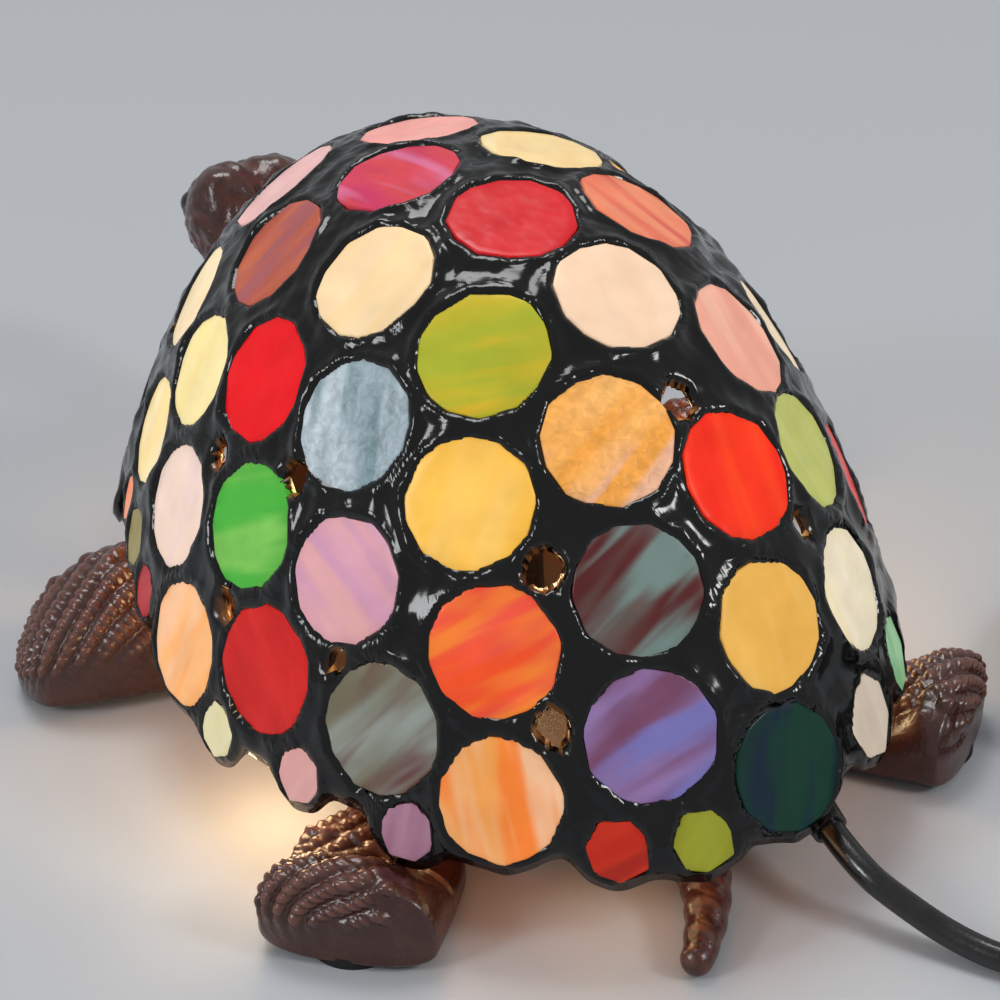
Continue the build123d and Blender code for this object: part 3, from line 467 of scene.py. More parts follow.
def tail():
    """Tail: a round section carried along a curve that swings aside, its radius rippled into ridges."""
    rows, columns = 110, 64
    k = np.linspace(0, 1, rows)
    root_radius, tip_radius = 0.006, 0.0027
    run = tail_reach - tip_radius - tail_root
    fall = tail_rise - root_radius - tip_radius
    middle = np.stack([tail_curl * k * k, shell_y + tail_root + run * k,
                       tail_rise - root_radius - fall * k], axis=1)
    turn = full_turn(columns)
    ridge = np.cos(2 * np.pi * (tail_ridges * k[:, None] + 0.22 * np.cos(turn)[None]))
    ridge = ridge * (0.55 + 0.45 * np.sin(turn)[None])
    end = np.sqrt(np.clip(1 - np.clip((k - 0.93) / 0.07, 0, 1) ** 2, 0, 1))
    end[0] = 0
    radius = (root_radius + (tip_radius - root_radius) * k)[:, None] * (1 + 0.07 * ridge) * end[:, None]
    side = np.stack([np.full(rows, run), -2 * tail_curl * k, np.zeros(rows)], axis=1)
    side /= np.linalg.norm(side, axis=1, keepdims=True)
    points = middle[:, None] + side[:, None] * (radius * np.cos(turn))[..., None]
    points[..., 2] += radius * np.sin(turn)
    points[..., 2] = np.maximum(points[..., 2], 0.0002)
    tongue = bar(0.053, tail_root + 0.004, tail_tongue_half)
    tongue = np.stack([tongue[..., 1], shell_y + tongue[..., 0], tongue[..., 2]], axis=2)
    # Lighter on the ridges: rubbed finish with a painted sheen; darker between them
    points, rub = with_tongue(points, tongue, np.clip(0.3 + 0.45 * ridge, 0, 1))
    faces = np.concatenate([tube_faces(rows, columns), tube_faces(bar_rows, bar_columns, rows * columns)])
    piece_from("tail_cast", points, faces[:, ::-1], "base", "cast_body", lacquer, ["tail"], rub=rub)


tail()

# Glass: flat pieces cut by hand to many-sided discs from streaky opal sheet, lit from behind by the bulb;
# that light through them is painted on as a glow in their own colours.
# Each lies square to the oval dome at a turn about its middle and a share of the way down to the rim.
shell_half = (0.075, 0.105)
shell_top, shell_foot = 0.1104, 0.0138
shell_power, shell_cut = 2.44, 0.79
disc_radius = 0.0114
glass_up, glass_down = 0.0007, 0.0021


def dome_drop(share):
    """How far the dome lies below its crown: a round of a higher power than a circle's, cut off early."""
    def arc(part):
        return 1 - (1 - part ** shell_power) ** (1 / shell_power)
    return (shell_top - shell_foot) * arc(shell_cut * share) / arc(shell_cut)


def dome_point(turn, share):
    """Point on the middle of the glass: an oval ring, lowered by the dome's drop."""
    return np.stack([share * shell_half[0] * np.cos(turn), shell_y + share * shell_half[1] * np.sin(turn),
                     shell_top - dome_drop(share)], axis=-1)


def dome_out(turn, share):
    """Unit normal of the dome, from the slope of its drop."""
    step = 0.002
    slope = (dome_drop(share + step) - dome_drop(np.abs(share - step))) / (2 * step)
    slope = np.where(share < step, 0, slope)
    normal = np.stack([slope * shell_half[1] * np.cos(turn), slope * shell_half[0] * np.sin(turn),
                       shell_half[0] * shell_half[1] + 0 * turn], axis=-1)
    return normal / np.linalg.norm(normal, axis=-1, keepdims=True)


# The discs in the open: glass, turn in degrees, share, size, its colour, streak and vein, streaking, slant
open_discs = [
    ("pink", 273, 0.195, 0.98, (250, 166, 156), (250, 190, 178), (246, 156, 150), 0.4, 20),
    ("cream", 176, 0.195, 1.00, (252, 220, 156), (255, 236, 188), (250, 208, 132), 0.5, 160),
    ("pink", 0, 0.190, 1.00, (218, 66, 72), (196, 36, 94), (216, 112, 150), 0.9, 14),
    ("orange", 142.5, 0.377, 1.00, (240, 142, 102), (236, 96, 70), (212, 58, 58), 0.7, 62),
    ("red", 79, 0.251, 1.00, (214, 24, 34), (202, 16, 30), (220, 46, 44), 0.4, 20),
    ("orange", -8, 0.491, 1.00, (182, 86, 64), (206, 108, 74), (162, 86, 94), 0.8, 78),
    ("cream", 28.3, 0.435, 1.00, (250, 218, 172), (255, 214, 132), (252, 226, 188), 0.5, 80),
    ("cream", 100, 0.454, 1.00, (250, 214, 180), (252, 222, 194), (246, 204, 170), 0.4, 70),
    ("pink", 129, 0.607, 1.00, (240, 168, 144), (228, 150, 132), (246, 190, 164), 0.6, 62),
    ("green", 59.4, 0.521, 1.00, (198, 176, 42), (150, 172, 46), (228, 172, 32), 0.7, 14),
    ("pink", -42, 0.450, 1.00, (238, 182, 178), (248, 206, 200), (230, 170, 170), 0.5, 30),
    ("cream", -28, 0.670, 0.96, (255, 228, 178), (255, 236, 200), (252, 212, 160), 0.4, 70),
    ("cream", -7.6, 0.702, 0.96, (255, 234, 168), (255, 226, 140), (246, 232, 186), 0.5, 85),
    ("red", 11.1, 0.649, 1.00, (238, 6, 20), (226, 2, 16), (240, 18, 26), 0.4, 60),
    ("cream", -16.2, 0.815, 0.94, (255, 230, 168), (255, 214, 128), (255, 238, 194), 0.5, 80),
    ("slate", 33.5, 0.650, 1.00, (150, 166, 174), (198, 208, 214), (98, 126, 132), 0.8, 105),
    ("amber", 82, 0.640, 1.00, (238, 160, 68), (248, 186, 108), (226, 176, 150), 0.8, 35),
    ("green", 129, 0.755, 0.96, (186, 190, 98), (172, 178, 84), (196, 200, 120), 0.5, 90),
    ("red", 106, 0.717, 1.00, (250, 38, 4), (255, 78, 22), (240, 26, 6), 0.5, 76),
    ("amber", 55.4, 0.706, 1.00, (255, 196, 78), (253, 206, 116), (255, 188, 58), 0.5, 80),
    ("cream", 0.4, 0.836, 1.00, (244, 212, 192), (248, 222, 206), (228, 198, 202), 0.5, 85),
    ("green", 17.6, 0.800, 1.00, (72, 176, 58), (130, 198, 88), (60, 158, 54), 0.9, 28),
    ("mauve", 36, 0.806, 0.97, (224, 162, 172), (202, 148, 184), (230, 172, 168), 0.7, 150),
    ("cream", 123.5, 0.874, 0.98, (236, 222, 192), (238, 214, 146), (240, 230, 208), 0.6, 95),
    ("dark", 80.9, 0.788, 0.97, (84, 32, 32), (100, 94, 88), (116, 142, 136), 0.8, 38),
    ("amber", 101.8, 0.848, 0.98, (240, 184, 86), (234, 172, 72), (244, 196, 108), 0.5, 90),
    ("red", 58.3, 0.837, 1.00, (246, 82, 24), (236, 84, 72), (250, 138, 44), 0.8, 32),
    ("orange", 8.9, 0.930, 1.00, (252, 184, 120), (248, 196, 158), (255, 170, 88), 0.7, 72),
    ("red", 24.7, 0.905, 1.00, (204, 28, 24), (186, 22, 24), (214, 44, 36), 0.5, 140),
    ("dark", 42.7, 0.911, 1.00, (112, 104, 84), (146, 154, 146), (94, 48, 50), 0.95, 50),
    ("orange", 58.2, 0.942, 0.95, (242, 160, 80), (240, 192, 154), (248, 126, 46), 0.9, 104),
    ("mauve", 78.7, 0.899, 1.00, (140, 112, 162), (112, 64, 90), (116, 112, 176), 0.95, 26),
    ("dark", 98.4, 0.945, 0.98, (8, 42, 36), (10, 26, 52), (6, 54, 34), 0.8, 70),
    ("cream", 117.6, 0.955, 0.62, (206, 190, 170), (216, 202, 184), (196, 176, 158), 0.5, 90),
    ("green", 132.5, 0.954, 0.60, (122, 184, 130), (164, 204, 160), (96, 160, 108), 0.7, 90),
    ("green", -11, 0.907, 0.50, (150, 136, 80), (128, 114, 62), (164, 152, 100), 0.5, 80),
    ("orange", -19, 0.898, 0.40, (250, 152, 110), (246, 172, 130), (244, 134, 90), 0.5, 80),
    ("red", -3.4, 0.928, 0.42, (176, 46, 52), (150, 32, 42), (190, 64, 64), 0.5, 60),
    ("cream", 17.7, 0.968, 0.42, (222, 212, 166), (228, 218, 180), (214, 204, 142), 0.5, 60),
    ("pink", 31.4, 0.964, 0.42, (220, 166, 160), (230, 182, 174), (212, 150, 148), 0.5, 60),
    ("mauve", 46.3, 0.973, 0.44, (168, 122, 142), (140, 84, 114), (184, 146, 160), 0.8, 86),
    ("red", 72.4, 0.969, 0.46, (186, 38, 20), (206, 60, 30), (132, 22, 20), 0.6, 30),
    ("green", 83.6, 0.970, 0.46, (142, 144, 36), (154, 156, 50), (126, 128, 26), 0.5, 60),
]
# The rows that go on round the far side: share, the turns they lie between, count, size, glass in order
far_rows = [
    (0.48, 143, 322, 4, 1.00, ("amber", "red", "green", "cream")),
    (0.68, 131, 332, 8, 0.96, ("cream", "mauve", "orange", "slate", "red", "amber", "pink", "green")),
    (0.845, 126, 343, 10, 0.96, ("red", "amber", "green", "cream", "orange")),
    (0.94, 133, 180, 2, 0.80, ("pink", "mauve")),
    (0.94, 200, 266, 3, 0.80, ("cream", "green", "dark")),
    (0.94, 274, 336, 3, 0.80, ("red", "cream", "amber")),
]
far_chips = [("cream", 157.6, 0.965, 0.30), ("orange", 221.7, 0.965, 0.30), ("pink", 238.2, 0.968, 0.30),
             ("green", 300.3, 0.968, 0.30), ("cream", 315.7, 0.965, 0.30)]
far_looks = {
    "amber": ((236, 172, 84), (248, 202, 124), (226, 150, 60), 0.7),
    "red": ((210, 34, 30), (190, 22, 26), (222, 58, 40), 0.5),
    "green": ((120, 168, 70), (168, 190, 92), (84, 146, 60), 0.8),
    "cream": ((246, 220, 180), (252, 232, 200), (240, 208, 160), 0.5),
    "mauve": ((196, 146, 170), (160, 120, 168), (210, 166, 178), 0.8),
    "orange": ((234, 148, 98), (244, 184, 140), (228, 112, 66), 0.7),
    "slate": ((144, 160, 168), (188, 200, 206), (104, 128, 138), 0.8),
    "pink": ((238, 182, 164), (246, 204, 190), (230, 162, 150), 0.6),
    "dark": ((76, 48, 52), (56, 84, 92), (110, 60, 58), 0.9),
}


def row_turns(first, last, count):
    """Turns in degrees that divide an oval row into equal lengths between two given turns."""
    turns = np.linspace(first, last, 721)
    half = np.radians((turns[1:] + turns[:-1]) / 2)
    run = np.r_[0, np.cumsum(np.hypot(shell_half[0] * np.sin(half), shell_half[1] * np.cos(half)))]
    return np.interp(run[-1] * np.arange(1, count + 1) / (count + 1), run, turns)


rng = np.random.default_rng(7)
discs = list(open_discs)
for share, first, last, count, size, names in far_rows:
    for i, turn in enumerate(row_turns(first, last, count)):
        glass = names[i % len(names)]
        discs.append((glass, turn, share, size, *far_looks[glass], rng.uniform(0, 180)))
for glass, turn, share, size in far_chips:
    discs.append((glass, turn, share, size, *far_looks[glass], 60))


class Cut:
    """One flat opening in the dome: its middle, its two axes and normal, and its hand-cut edge."""

    def __init__(self, turn, share, radius, sides, uneven):
        here = np.radians(turn)
        self.middle = dome_point(here, np.array(share))
        self.out = dome_out(np.array(here), np.array(share))
        self.aside = np.array([-shell_half[0] * np.sin(here), shell_half[1] * np.cos(here), 0])
        self.aside /= np.linalg.norm(self.aside)
        self.up = np.cross(self.out, self.aside)
        loose = np.arange(sides) + rng.uniform(-0.22, 0.22, sides)
        self.facing = loose * 2 * np.pi / sides + rng.uniform(0, 1)
        self.reach = radius * (1 + rng.uniform(-uneven, uneven, sides))

    def edge(self, turn):
        """How far out the straight-cut edge lies: the nearest of its sides along each way."""
        toward = np.cos(np.asarray(turn)[..., None] - self.facing)
        return np.min(np.where(toward > 0.05, self.reach / np.maximum(toward, 0.05), 1.0), axis=-1)

    def seen(self, points):
        """Places of points in the opening's plane, and their height over it."""
        away = points - self.middle
        return away @ self.aside, away @ self.up, away @ self.out

    def gap(self, points):
        """How far outside the edge points lie, and their height over the opening's plane."""
        a, b, height = self.seen(points)
        return np.hypot(a, b) - self.edge(np.arctan2(b, a)), height


disc_sides, chip_sides = 13, 7
cuts = [Cut(turn, share, disc_radius * size, disc_sides if size > 0.7 else chip_sides, 0.025)
        for glass, turn, share, size, *look in discs]

# Opal glass: three colours of one sheet drawn into each other in streaks, slow clouds and a rippled face
opal, opal_tree, opal_shader = finish_of("opal_glass", {"Emission Strength": 1.0, "Specular IOR Level": 0.28})
opal_at = stored(opal_tree, "grain", "Vector")
opal_hammered = stored(opal_tree, "hammered")


def streaks(shift, stretch, low, high):
    """Where a second colour shows: noise stretched along the draw of the sheet, times its streaking."""
    drawn = add(opal_tree, "Mapping", "Vector", {"Vector": opal_at, "Location": shift, "Scale": stretch})
    wisps = noise(opal_tree, drawn, 0.9, 2.2, Roughness=0.45, Distortion=0.4)
    mask = between(opal_tree, wisps, 0.0, 1.0, low, high, interpolation_type="SMOOTHSTEP")
    return times_plus(opal_tree, mask, stored(opal_tree, "streaking"))


def scaled(tree, tone, scale):
    """A colour times a number."""
    return add(tree, "VectorMath", "Vector", {0: tone, "Scale": scale}, operation="SCALE")


opal_streaked = blend(opal_tree, streaks((0, 0, 0), (0.22, 1.3, 1), 0.34, 0.68),
                      stored(opal_tree, "tint", "Color"), stored(opal_tree, "streak", "Color"))
opal_veined = blend(opal_tree, streaks((5.3, 2.7, 0), (0.26, 1.5, 1), 0.46, 0.66), opal_streaked,
                    stored(opal_tree, "vein", "Color"))
opal_cloud = noise(opal_tree, opal_at, 0.9)
opal_dents = noise(opal_tree, opal_at, 4.2, 4.0, Distortion=0.8)
# Brightness of the sheet: slow clouds of tone, and on hammered glass painted glints that follow its dents
opal_clouds_and_glints = times_plus(opal_tree, between(opal_tree, opal_dents, -0.22, 0.22, 0.3, 0.7), opal_hammered,
                        between(opal_tree, opal_cloud, 0.90, 1.08, 0.25, 0.75))
opal_body = scaled(opal_tree, opal_veined, opal_clouds_and_glints)
opal_face = times_plus(opal_tree, opal_dents, opal_hammered, noise(opal_tree, opal_at, 1.1))
# The emission is painted light: the bulb's light through the glass, in the glass's own colours.
feed(opal_tree, opal_shader, {
    "Base Color": scaled(opal_tree, opal_body, 0.85),
    "Emission Color": scaled(opal_tree, opal_body, stored(opal_tree, "glow")),
    "Roughness": between(opal_tree, opal_cloud, 0.22, 0.38),
    "Normal": bump(opal_tree, opal_face, 0.45, 0.0009)})

hammered = {33.5: 1.0, 82: 0.7}
bulb_middle = np.array([0.0, shell_y, 0.060])
# Painted backlight on the glass: stronger on pieces that face aside than on those that face up, and fading
# away from the bulb
glow_side, glow_loss, glow_fade = 0.47, 0.25, 0.8
sheet_scale = 0.008
glass_rings = np.array([0, 0.3, 0.6, 0.85, 0.97, 1.0, 1.0, 0.97, 0.6, 0])
glass_levels = np.array([1, 1, 1, 1, 1, 0.85, -0.95, -1, -1, -1])
glass_columns = 52


def glass_pieces(glass):
    """All pieces of one glass: each a flat disc out to its cut edge, front face, edge and back face."""
    turn = full_turn(glass_columns)
    points, faces = [], []
    values = {label: [] for label in ("tint", "streak", "vein", "grain", "streaking", "glow", "hammered")}
    for cut, (name, place, share, size, tint, streak, vein, streaking, slant) in zip(cuts, discs):
        if name != glass:
            continue
        reach = glass_rings[:, None] * cut.edge(turn)[None]
        a, b = reach * np.cos(turn), reach * np.sin(turn)
        level = glass_levels * np.where(glass_levels > 0, glass_up, glass_down)
        level = level[:, None] + 0 * a
        here = cut.middle + a[..., None] * cut.aside + b[..., None] * cut.up + level[..., None] * cut.out
        here = here.reshape(-1, 3)
        faces.append(tube_faces(len(glass_rings), glass_columns, sum(len(p) for p in points)))
        points.append(here)
        way = np.radians(slant)
        drawn = [a * np.cos(way) + b * np.sin(way), b * np.cos(way) - a * np.sin(way), level]
        drawn = np.stack(drawn, axis=2).reshape(-1, 3)
        values["grain"].append(drawn / sheet_scale + rng.uniform(0, 50, 3))
        for label, look in (("tint", tint), ("streak", streak), ("vein", vein)):
            values[label].append(np.tile(colour(*look), (len(here), 1)))
        # Painted backlight: less on pieces that face up, and fading with distance from the bulb
        away = np.linalg.norm(here - bulb_middle, axis=1)
        fade = (np.linalg.norm(cut.middle - bulb_middle) / away) ** glow_fade
        values["glow"].append((glow_side - glow_loss * cut.out[2]) * fade)
        values["streaking"].append(np.full(len(here), streaking))
        values["hammered"].append(np.full(len(here), hammered.get(place, 0.0)))
    piece_from(f"{glass}_glass_cut", np.concatenate(points), np.concatenate(faces)[:, ::-1], "shade",
               f"glass_{glass}", opal, [f"glass_{glass}"],
               **{label: np.concatenate(value) for label, value in values.items()})


for glass in sorted(far_looks):
    glass_pieces(glass)

# Solder: the web that joins the glass, run on thick over copper foil and blacked to a wet gloss.
# It laps a little over each piece, is lumpy between them, and ends in a rounded scalloped rim.
open_corners = [(66.7, 0.767, 0.0031), (66.1, 0.892, 0.0024), (99.6, 0.622, 0.0027), (7.9, 0.759, 0.0021),
                (25.1, 0.730, 0.0024), (16.9, 0.878, 0.0021), (35.8, 0.869, 0.0015), (115.9, 0.792, 0.0020)]
near_height = 0.012
corner_border, corner_least, corner_sides = 0.0003, 0.0010, 6


def open_corner(turn, share, radius):
    """An opening moved to where the solder about it is widest, and kept clear of the glass round it."""
    turns = np.radians(turn + np.linspace(-0.5, 0.5, 9))
    turns, shares = np.meshgrid(turns, share + np.linspace(-0.003, 0.003, 9))
    points = dome_point(turns, shares)
    room = np.full(turns.shape, 1.0)
    for cut in cuts:
        gap, height = cut.gap(points)
        room = np.where(np.abs(height) < near_height, np.minimum(room, gap), room)
    best = np.unravel_index(np.argmax(room), room.shape)
    radius = np.clip(room[best] + corner_border, corner_least, radius)
    return Cut(np.degrees(turns[best]), float(shares[best]), radius, corner_sides, 0.2)


corner_cuts = [open_corner(*corner) for corner in open_corners]
rim_border = 0.0024
rim_high, rim_low = 0.80, 1.03
notch_round = 0.0020
notch_span = 14
notch_depth = 0.018
# Arches over the front legs and the neck: way they face in degrees, half width, height
arches = [(-20, 0.020, 0.030), (200, 0.020, 0.030), (-90, 0.017, 0.036)]
lap = 0.0013


def rim_shares(turn):
    """Where the rim lies at each turn: the lowest place within a border of a piece of glass, or an arch."""
    where, share = np.meshgrid(turn, np.linspace(rim_high, rim_low, 140), indexing="ij")
    points = dome_point(where, share)
    near = np.zeros(where.shape)
    for cut, (glass, place, down, *look) in zip(cuts, discs):
        if down > rim_high:
            gap, height = cut.gap(points)
            near += np.where(np.abs(height) < near_height, np.exp(-gap / notch_round), 0)
    inside = -notch_round * np.log(np.maximum(near, 1e-30)) < rim_border
    rim = np.max(np.where(inside, share, rim_high), axis=1)
    span = np.arange(-notch_span, notch_span + 1)
    around = (np.arange(len(turn))[:, None] + span) % len(turn)
    filled = np.min(np.max(rim[around], axis=1)[around], axis=1)
    rim = np.maximum(rim, filled - notch_depth)
    for way, half, high in arches:
        way = np.radians(way)
        x, y = points[..., 0], points[..., 1] - shell_y
        ahead = x * np.cos(way) + y * np.sin(way)
        beside = y * np.cos(way) - x * np.sin(way)
        arch = high - half + np.sqrt(np.maximum(half ** 2 - beside ** 2, 0))
        open_here = (ahead > 0) & (np.abs(beside) < half) & (points[..., 2] < arch)
        rim = np.minimum(rim, np.min(np.where(open_here, share, rim_low), axis=1))
    for k in range(3):
        rim = (np.roll(rim, 1) + 2 * rim + np.roll(rim, -1)) / 4
    return rim


def lumps(points, lengths, seed):
    """Smooth lumpiness: many waves of given lengths in random directions, added together."""
    waves = np.random.default_rng(seed)
    total = np.zeros(len(points))
    for length in lengths:
        way = waves.normal(size=3)
        total += np.sin(points @ (way / np.linalg.norm(way)) * 2 * np.pi / length + waves.uniform(0, 6.28))
    return total / np.sqrt(len(lengths))


edge_cell = 0.0007
rim_run = 0.16
rim_round = 0.0022
# How far the solder stands out over the glass and in under it, at marks from its cut edge, from mm
web_marks = np.array([-1.3, -0.9, -0.35, 0.1, 0.6, 1.2, 2.0, 3.5, 6.0]) / 1000
web_proud = np.array([-0.9, -0.5, 0.02, 0.42, 0.66, 0.62, 0.42, 0.2, 0.15]) / 1000
web_under = np.array([-0.9, -0.5, 0.0, 0.35, 0.6, 0.6, 0.5, 0.4, 0.4]) / 1000


def rounded(distance, radius):
    """A quarter round: 0 at an edge, 1 from one radius inwards."""
    return np.sqrt(np.clip(1 - (1 - np.clip(distance / radius, 0, 1)) ** 2, 0, 1))


# How far from the middle of a piece of glass the web is cut for it, and how far it follows the glass's plane
seat_reach = 0.016
plane_reach, plane_height, plane_blend = 0.020, 0.014, 0.0009
least_facing, most_rise = 0.3, 0.0014
# Away from all glass: how much the plain dome counts, its rise over the glass's middle, the widest gap told
bare_weight, bare_rise, far_gap = np.exp(-6.0), 0.0012, 0.006
copper_share, copper_width = 0.7, 0.00025
coarse_lengths, fine_lengths = np.linspace(0.005, 0.014, 16), np.linspace(0.0022, 0.0045, 22)
coarse_lump, fine_lump, under_lump = 0.00030, 0.00007, 0.00015


def solder_web():
    """The web: an outer and an inner skin over the dome that follow the glass planes and meet at edges."""
    columns, rows = 620, 140
    turn = full_turn(columns)
    rim = rim_shares(turn)
    where, down = np.meshgrid(turn, np.linspace(0, 1, rows), indexing="ij")
    share = down * rim[:, None]
    points = dome_point(where, share).reshape(-1, 3)
    out = dome_out(where, share).reshape(-1, 3)
    from_rim = ((rim[:, None] - share) * rim_run).ravel()
    hole = np.full(len(points), 1.0)
    copper = np.zeros(len(points))
    for cut, back in [(c, lap) for c in cuts] + [(c, 0.0) for c in corner_cuts]:
        a, b, height = cut.seen(points)
        apart = np.hypot(a, b)
        close = (apart < seat_reach) & (np.abs(height) < near_height)
        a, b, height, apart = a[close], b[close], height[close], apart[close]
        edge = cut.edge(np.arctan2(b, a)) - back
        gap = apart - edge
        snap = np.where(np.abs(gap) < edge_cell, edge / np.maximum(apart, 1e-6), 1.0)
        points[close] = (cut.middle + (a * snap)[:, None] * cut.aside + (b * snap)[:, None] * cut.up
                         + height[:, None] * cut.out)
        hole[close] = np.minimum(hole[close], np.where(np.abs(gap) < edge_cell, 0.0, gap))
        if back == 0.0:
            edging = copper_share * np.exp(-(np.maximum(gap, 0) / copper_width) ** 2)
            copper[close] = np.maximum(copper[close], edging)
    weight = np.full(len(points), bare_weight)
    plane = weight * bare_rise
    nearest = np.full(len(points), far_gap)
    for cut in cuts:
        a, b, height = cut.seen(points)
        apart = np.hypot(a, b)
        close = (apart < plane_reach) & (np.abs(height) < plane_height)
        gap = apart[close] - cut.edge(np.arctan2(b[close], a[close]))
        facing = np.maximum(out[close] @ cut.out, least_facing)
        rise = np.minimum((glass_up - height[close]) / facing, most_rise)
        share_of = np.exp(-np.maximum(gap, -0.002) / plane_blend)
        weight[close] += share_of
        plane[close] += share_of * rise
        nearest[close] = np.minimum(nearest[close], gap)
    plane /= weight
    proud = np.interp(nearest, web_marks, web_proud)
    coarse = lumps(points, coarse_lengths, 3)
    fine = lumps(points, fine_lengths, 5)
    free = np.clip((nearest + 0.0004) / 0.0012, 0, 1)
    proud += free * (coarse_lump * coarse + fine_lump * fine)
    thick = glass_up + glass_down
    under = np.interp(nearest, web_marks, web_under) + free * under_lump * coarse
    full = np.minimum(rounded(hole, edge_cell), rounded(from_rim, rim_round))
    middle = plane - thick / 2
    outer = points + out * (middle + full * (thick / 2 + proud))[:, None]
    inner = points + out * (middle - full * (thick / 2 + under))[:, None]
    column, row = np.meshgrid(np.arange(columns), np.arange(rows - 1), indexing="ij")
    here, ahead = column * rows + row, (column + 1) % columns * rows + row
    quads = np.stack([here, here + 1, ahead + 1, ahead], axis=2).reshape(-1, 4)
    kept = quads[np.min(hole[quads], axis=1) >= 0]
    faces = np.concatenate([kept, kept[:, ::-1] + len(points)])
    seam = np.exp(-((nearest - 0.0004) / 0.0011) ** 2)
    # Painted light on the inner skin: away from the rim and the glass it is coloured copper and glows warm,
    # as if lit by the bulb
    lit = np.clip((from_rim - 0.003) / 0.004, 0, 1) * np.clip((nearest - 0.0012) / 0.001, 0, 1)
    lit = lit * np.clip((hole - 0.0012) / 0.0010, 0, 1)
    piece_from("solder_web_run", np.concatenate([outer, inner]), faces, "shade", "solder", web_finish,
               ["solder_web"], copper=np.concatenate([copper, np.maximum(copper, 0.9 * lit)]),
               seam=np.concatenate([seam, 0.3 * seam]), lit=np.concatenate([0 * copper, 0.5 * lit]))


# Blacked solder: copper at the open corners, small nubs along the seams, and on its inside painted light of
# the bulb, a copper colour and a warm glow
web_finish, web_tree, web_shader = finish_of("black_solder", {
    "Specular IOR Level": 0.42, "Emission Strength": 1.0})
web_cloud = mottling(web_tree, 130.0)[0]
web_black = blend(web_tree, web_cloud, colour(2, 2, 2), colour(8, 8, 8))
web_lumps = noise(web_tree, own_places(web_tree), 360.0, 1.0, Distortion=0.5)
web_nubs = times_plus(web_tree, stored(web_tree, "seam"), 0.9, 0.06)
feed(web_tree, web_shader, {
    # The copper colour is real at the open corners and painted bulb light on the inside; the emission is
    # painted bulb light
    "Base Color": blend(web_tree, stored(web_tree, "copper"), web_black, colour(200, 132, 74)),
    "Emission Color": scaled(web_tree, colour(250, 176, 96)[:3], stored(web_tree, "lit")),
    "Roughness": between(web_tree, web_cloud, 0.07, 0.2),
    "Normal": bump(web_tree, times_plus(web_tree, web_lumps, web_nubs), 0.35, 0.0012)})
solder_web()
dress(mottled("lug_strap", (70, 66, 60), (110, 104, 96), (0.35, 0.5), (200, 1800), 0.3, {"Metallic": 1.0}),
      "shade_lugs")

# Cord: a round black two-core lead, 5 mm thick, out of a tapered boot at the back and down on to the floor.
# It goes through a small rocker switch, and what is left over is tied in a flat coil beside its plug.
cord_thick = 0.005
cord_skin = mottled("cord_skin", (12, 12, 13), (22, 22, 23), (0.2, 0.32), (260, 1600), 0.12,
                    {"Coat Weight": 0.3, "Coat Roughness": 0.12})
dress(cord_skin, "cord_inner", "cord_boot")
dress(black_moulding, "switch_base", "switch_cover", "plug_body")
dress(mottled("rocker_moulding", (44, 44, 45), (58, 58, 59), (0.3, 0.42), (200, 1600), 0.15, {}),
      "switch_rocker")
dress(mottled("tie_moulding", (20, 20, 21), (34, 34, 35), (0.45, 0.6), (240, 1500), 0.2, {}), "cord_tie")
dress(brass, "plug_blades")


def lead(name, points, replaced):
    """A cord: one smooth spline with the route's points as its control points, bevelled round."""
    curve = bpy.data.curves.new(name, "CURVE")
    curve.dimensions = "3D"
    curve.bevel_depth = cord_thick / 2
    curve.bevel_resolution = 5
    curve.resolution_u = 6
    curve.use_fill_caps = True
    spline = curve.splines.new("NURBS")
    spline.points.add(len(points) - 1)
    spline.points.foreach_set("co", np.column_stack([points, np.ones(len(points))]).ravel())
    spline.order_u = 3
    spline.use_endpoint_u = True
    curve.materials.append(cord_skin)
    cord = stand(name, curve)
    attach(cord, "base")
    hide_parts(*replaced)


tilt = np.radians(13)
gate = np.array([-0.020, 0.0975, 0.017])
down_way = np.array([0, np.cos(tilt), -np.sin(tilt)])
lead_route = [gate + 0.020 * down_way, gate + 0.030 * down_way, (-0.0235, 0.1338, 0.0071),
              (-0.0288, 0.1432, 0.0033), (-0.0346, 0.1534, 0.0026), (-0.0450, 0.1606, 0.0034),
              (-0.0575, 0.1642, 0.0060), (-0.070, 0.165, 0.008), (-0.080, 0.165, 0.008)]
lead("lead_to_switch", np.array(lead_route), ["cord_lead"])

# The coil: half turns that shrink in the lower layer, climb one, and grow again in the upper layer
coil_low, coil_high = 0.00385, 0.00945
coil_x, coil_y = -0.1672, 0.106
coil_step, coil_outer, coil_inner = 0.0028, 0.0386, 0.0190
coil_climb = 7
coil_radii = [coil_outer - coil_step * k for k in range(coil_climb)] + [coil_inner]
coil_radii += [coil_inner + coil_step * (k + 1) for k in range(coil_climb + 1)]
link_route = [(-0.134, 0.165, 0.008), (-0.144, 0.165, 0.008), (-0.1546, 0.1606, 0.0064),
              (-0.1628, 0.1525, 0.0048), (coil_x, 0.1418, 0.0039), (coil_x, 0.121, coil_low),
              (coil_x, 0.111, coil_low), (coil_x, coil_y, coil_low)]
half_turn = np.linspace(0, np.pi, 13)[1:]
at_x = coil_x
for k, radius in enumerate(coil_radii):
    side = 1 if k % 2 == 0 else -1
    low = coil_low if k <= coil_climb else coil_high
    high = coil_low if k < coil_climb else coil_high
    link_route += list(zip(at_x + side * radius * (1 - np.cos(half_turn)),
                           coil_y - side * radius * np.sin(half_turn),
                           low + (high - low) * (1 - np.cos(half_turn)) / 2))
    at_x += side * 2 * radius
link_route += [(at_x, coil_y - 0.005, coil_high), (at_x, 0.0909, coil_high), (at_x, 0.08085, coil_high)]
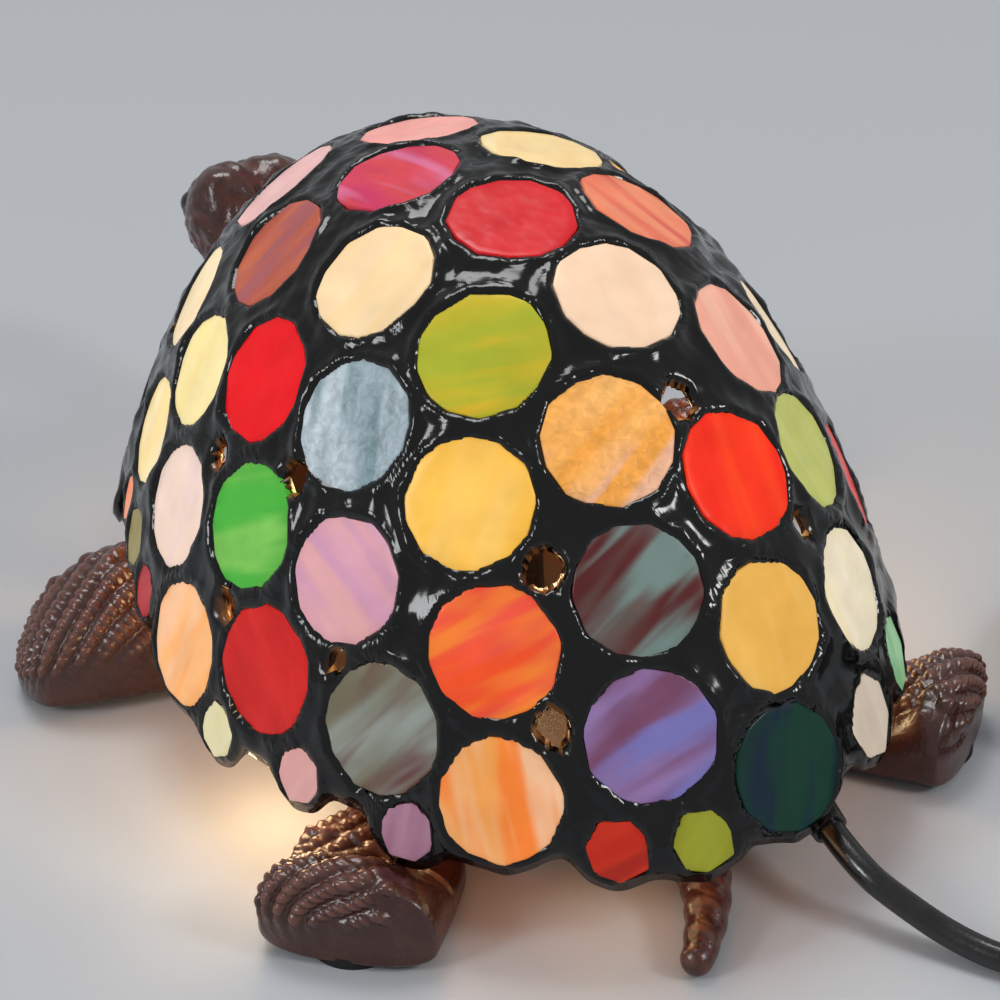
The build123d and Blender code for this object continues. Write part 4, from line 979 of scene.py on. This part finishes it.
lead("lead_to_plug", np.array(link_route),
     ["cord_link", "cord_coil", "cord_end"])

# Stage: a plain pale floor, soft light from above and both sides, the lit bulb, and the view.
floor_half = 4.0
floor_mesh = bpy.data.meshes.new("floor")
floor_corners = ((-1, -1), (1, -1), (1, 1), (-1, 1))
floor_mesh.from_pydata([(x * floor_half, y * floor_half, 0) for x, y in floor_corners], [], [(0, 1, 2, 3)])
floor_mesh.materials.append(finish_of("floor_paper", {
    "Base Color": colour(182, 185, 189), "Roughness": 0.45, "Specular IOR Level": 0.3})[0])
floor = stand("floor", floor_mesh)


def soft_light(name, place, aim, size, power_watts, tone):
    """A square soft light at a place, turned to face its aim."""
    light = bpy.data.lights.new(name, "AREA")
    light.size, light.energy, light.color = size, power_watts, tone
    back = np.array(place, float) - aim
    back /= np.linalg.norm(back)
    across = np.cross([0.0, 0.1, 1.0], back)
    across /= np.linalg.norm(across)
    turned = np.column_stack([across, np.cross(back, across), back])
    stand(name, light).matrix_world = Matrix.Translation(place) @ Matrix(turned.tolist()).to_4x4()


aim = np.array([0.0, 0.03, 0.05])
soft_light("overhead", (-0.1, -0.9, 2.2), aim, 0.9, 20.0, (1.0, 1.0, 1.0))
soft_light("left_box", (1.1, 0.1, 0.7), aim, 0.32, 4.0, (0.97, 0.98, 1.0))
soft_light("right_box", (-0.7, 0.9, 0.8), aim, 0.28, 5.0, (1.0, 0.99, 0.98))
# The bulb's light, and where it spills out under the rim: place, watts, softness
lamp_lights = {"lit_bulb": (bulb_middle, 0.16, 0.022), "spill_left": ((0.061, 0.052, 0.019), 0.032, 0.008),
               "spill_right": ((-0.061, 0.045, 0.019), 0.012, 0.008),
               "spill_back": ((0.018, 0.108, 0.019), 0.004, 0.008)}
for label, (place, watts, softness) in lamp_lights.items():
    light = bpy.data.lights.new(label, "POINT")
    light.energy, light.color, light.shadow_soft_size = watts, bulb_tone, softness
    stand(label, light).location = place

world = bpy.data.worlds.new("studio")
bpy.context.scene.world = world
world.use_nodes = True
sky = world.node_tree.nodes["Background"]
feed(world.node_tree, sky, {"Color": (0.95, 0.97, 1.0, 1.0), "Strength": 0.43})
bpy.context.scene.view_settings.view_transform = "Standard"

# The camera: the photograph's view, with its own right, up and back directions
view = bpy.data.cameras.new("view")
view.lens, view.sensor_width, view.sensor_fit = 85.3, 36.0, "HORIZONTAL"
view_place = (0.1709, 0.3998, 0.2696)
view_axes = np.column_stack([(-0.8994, 0.4355, -0.0387), (-0.2426, -0.4235, 0.8728),
                             (0.3637, 0.7943, 0.4866)])
camera = stand("view", view)
camera.matrix_world = Matrix.Translation(view_place) @ Matrix(view_axes.tolist()).to_4x4()
bpy.context.scene.camera = camera
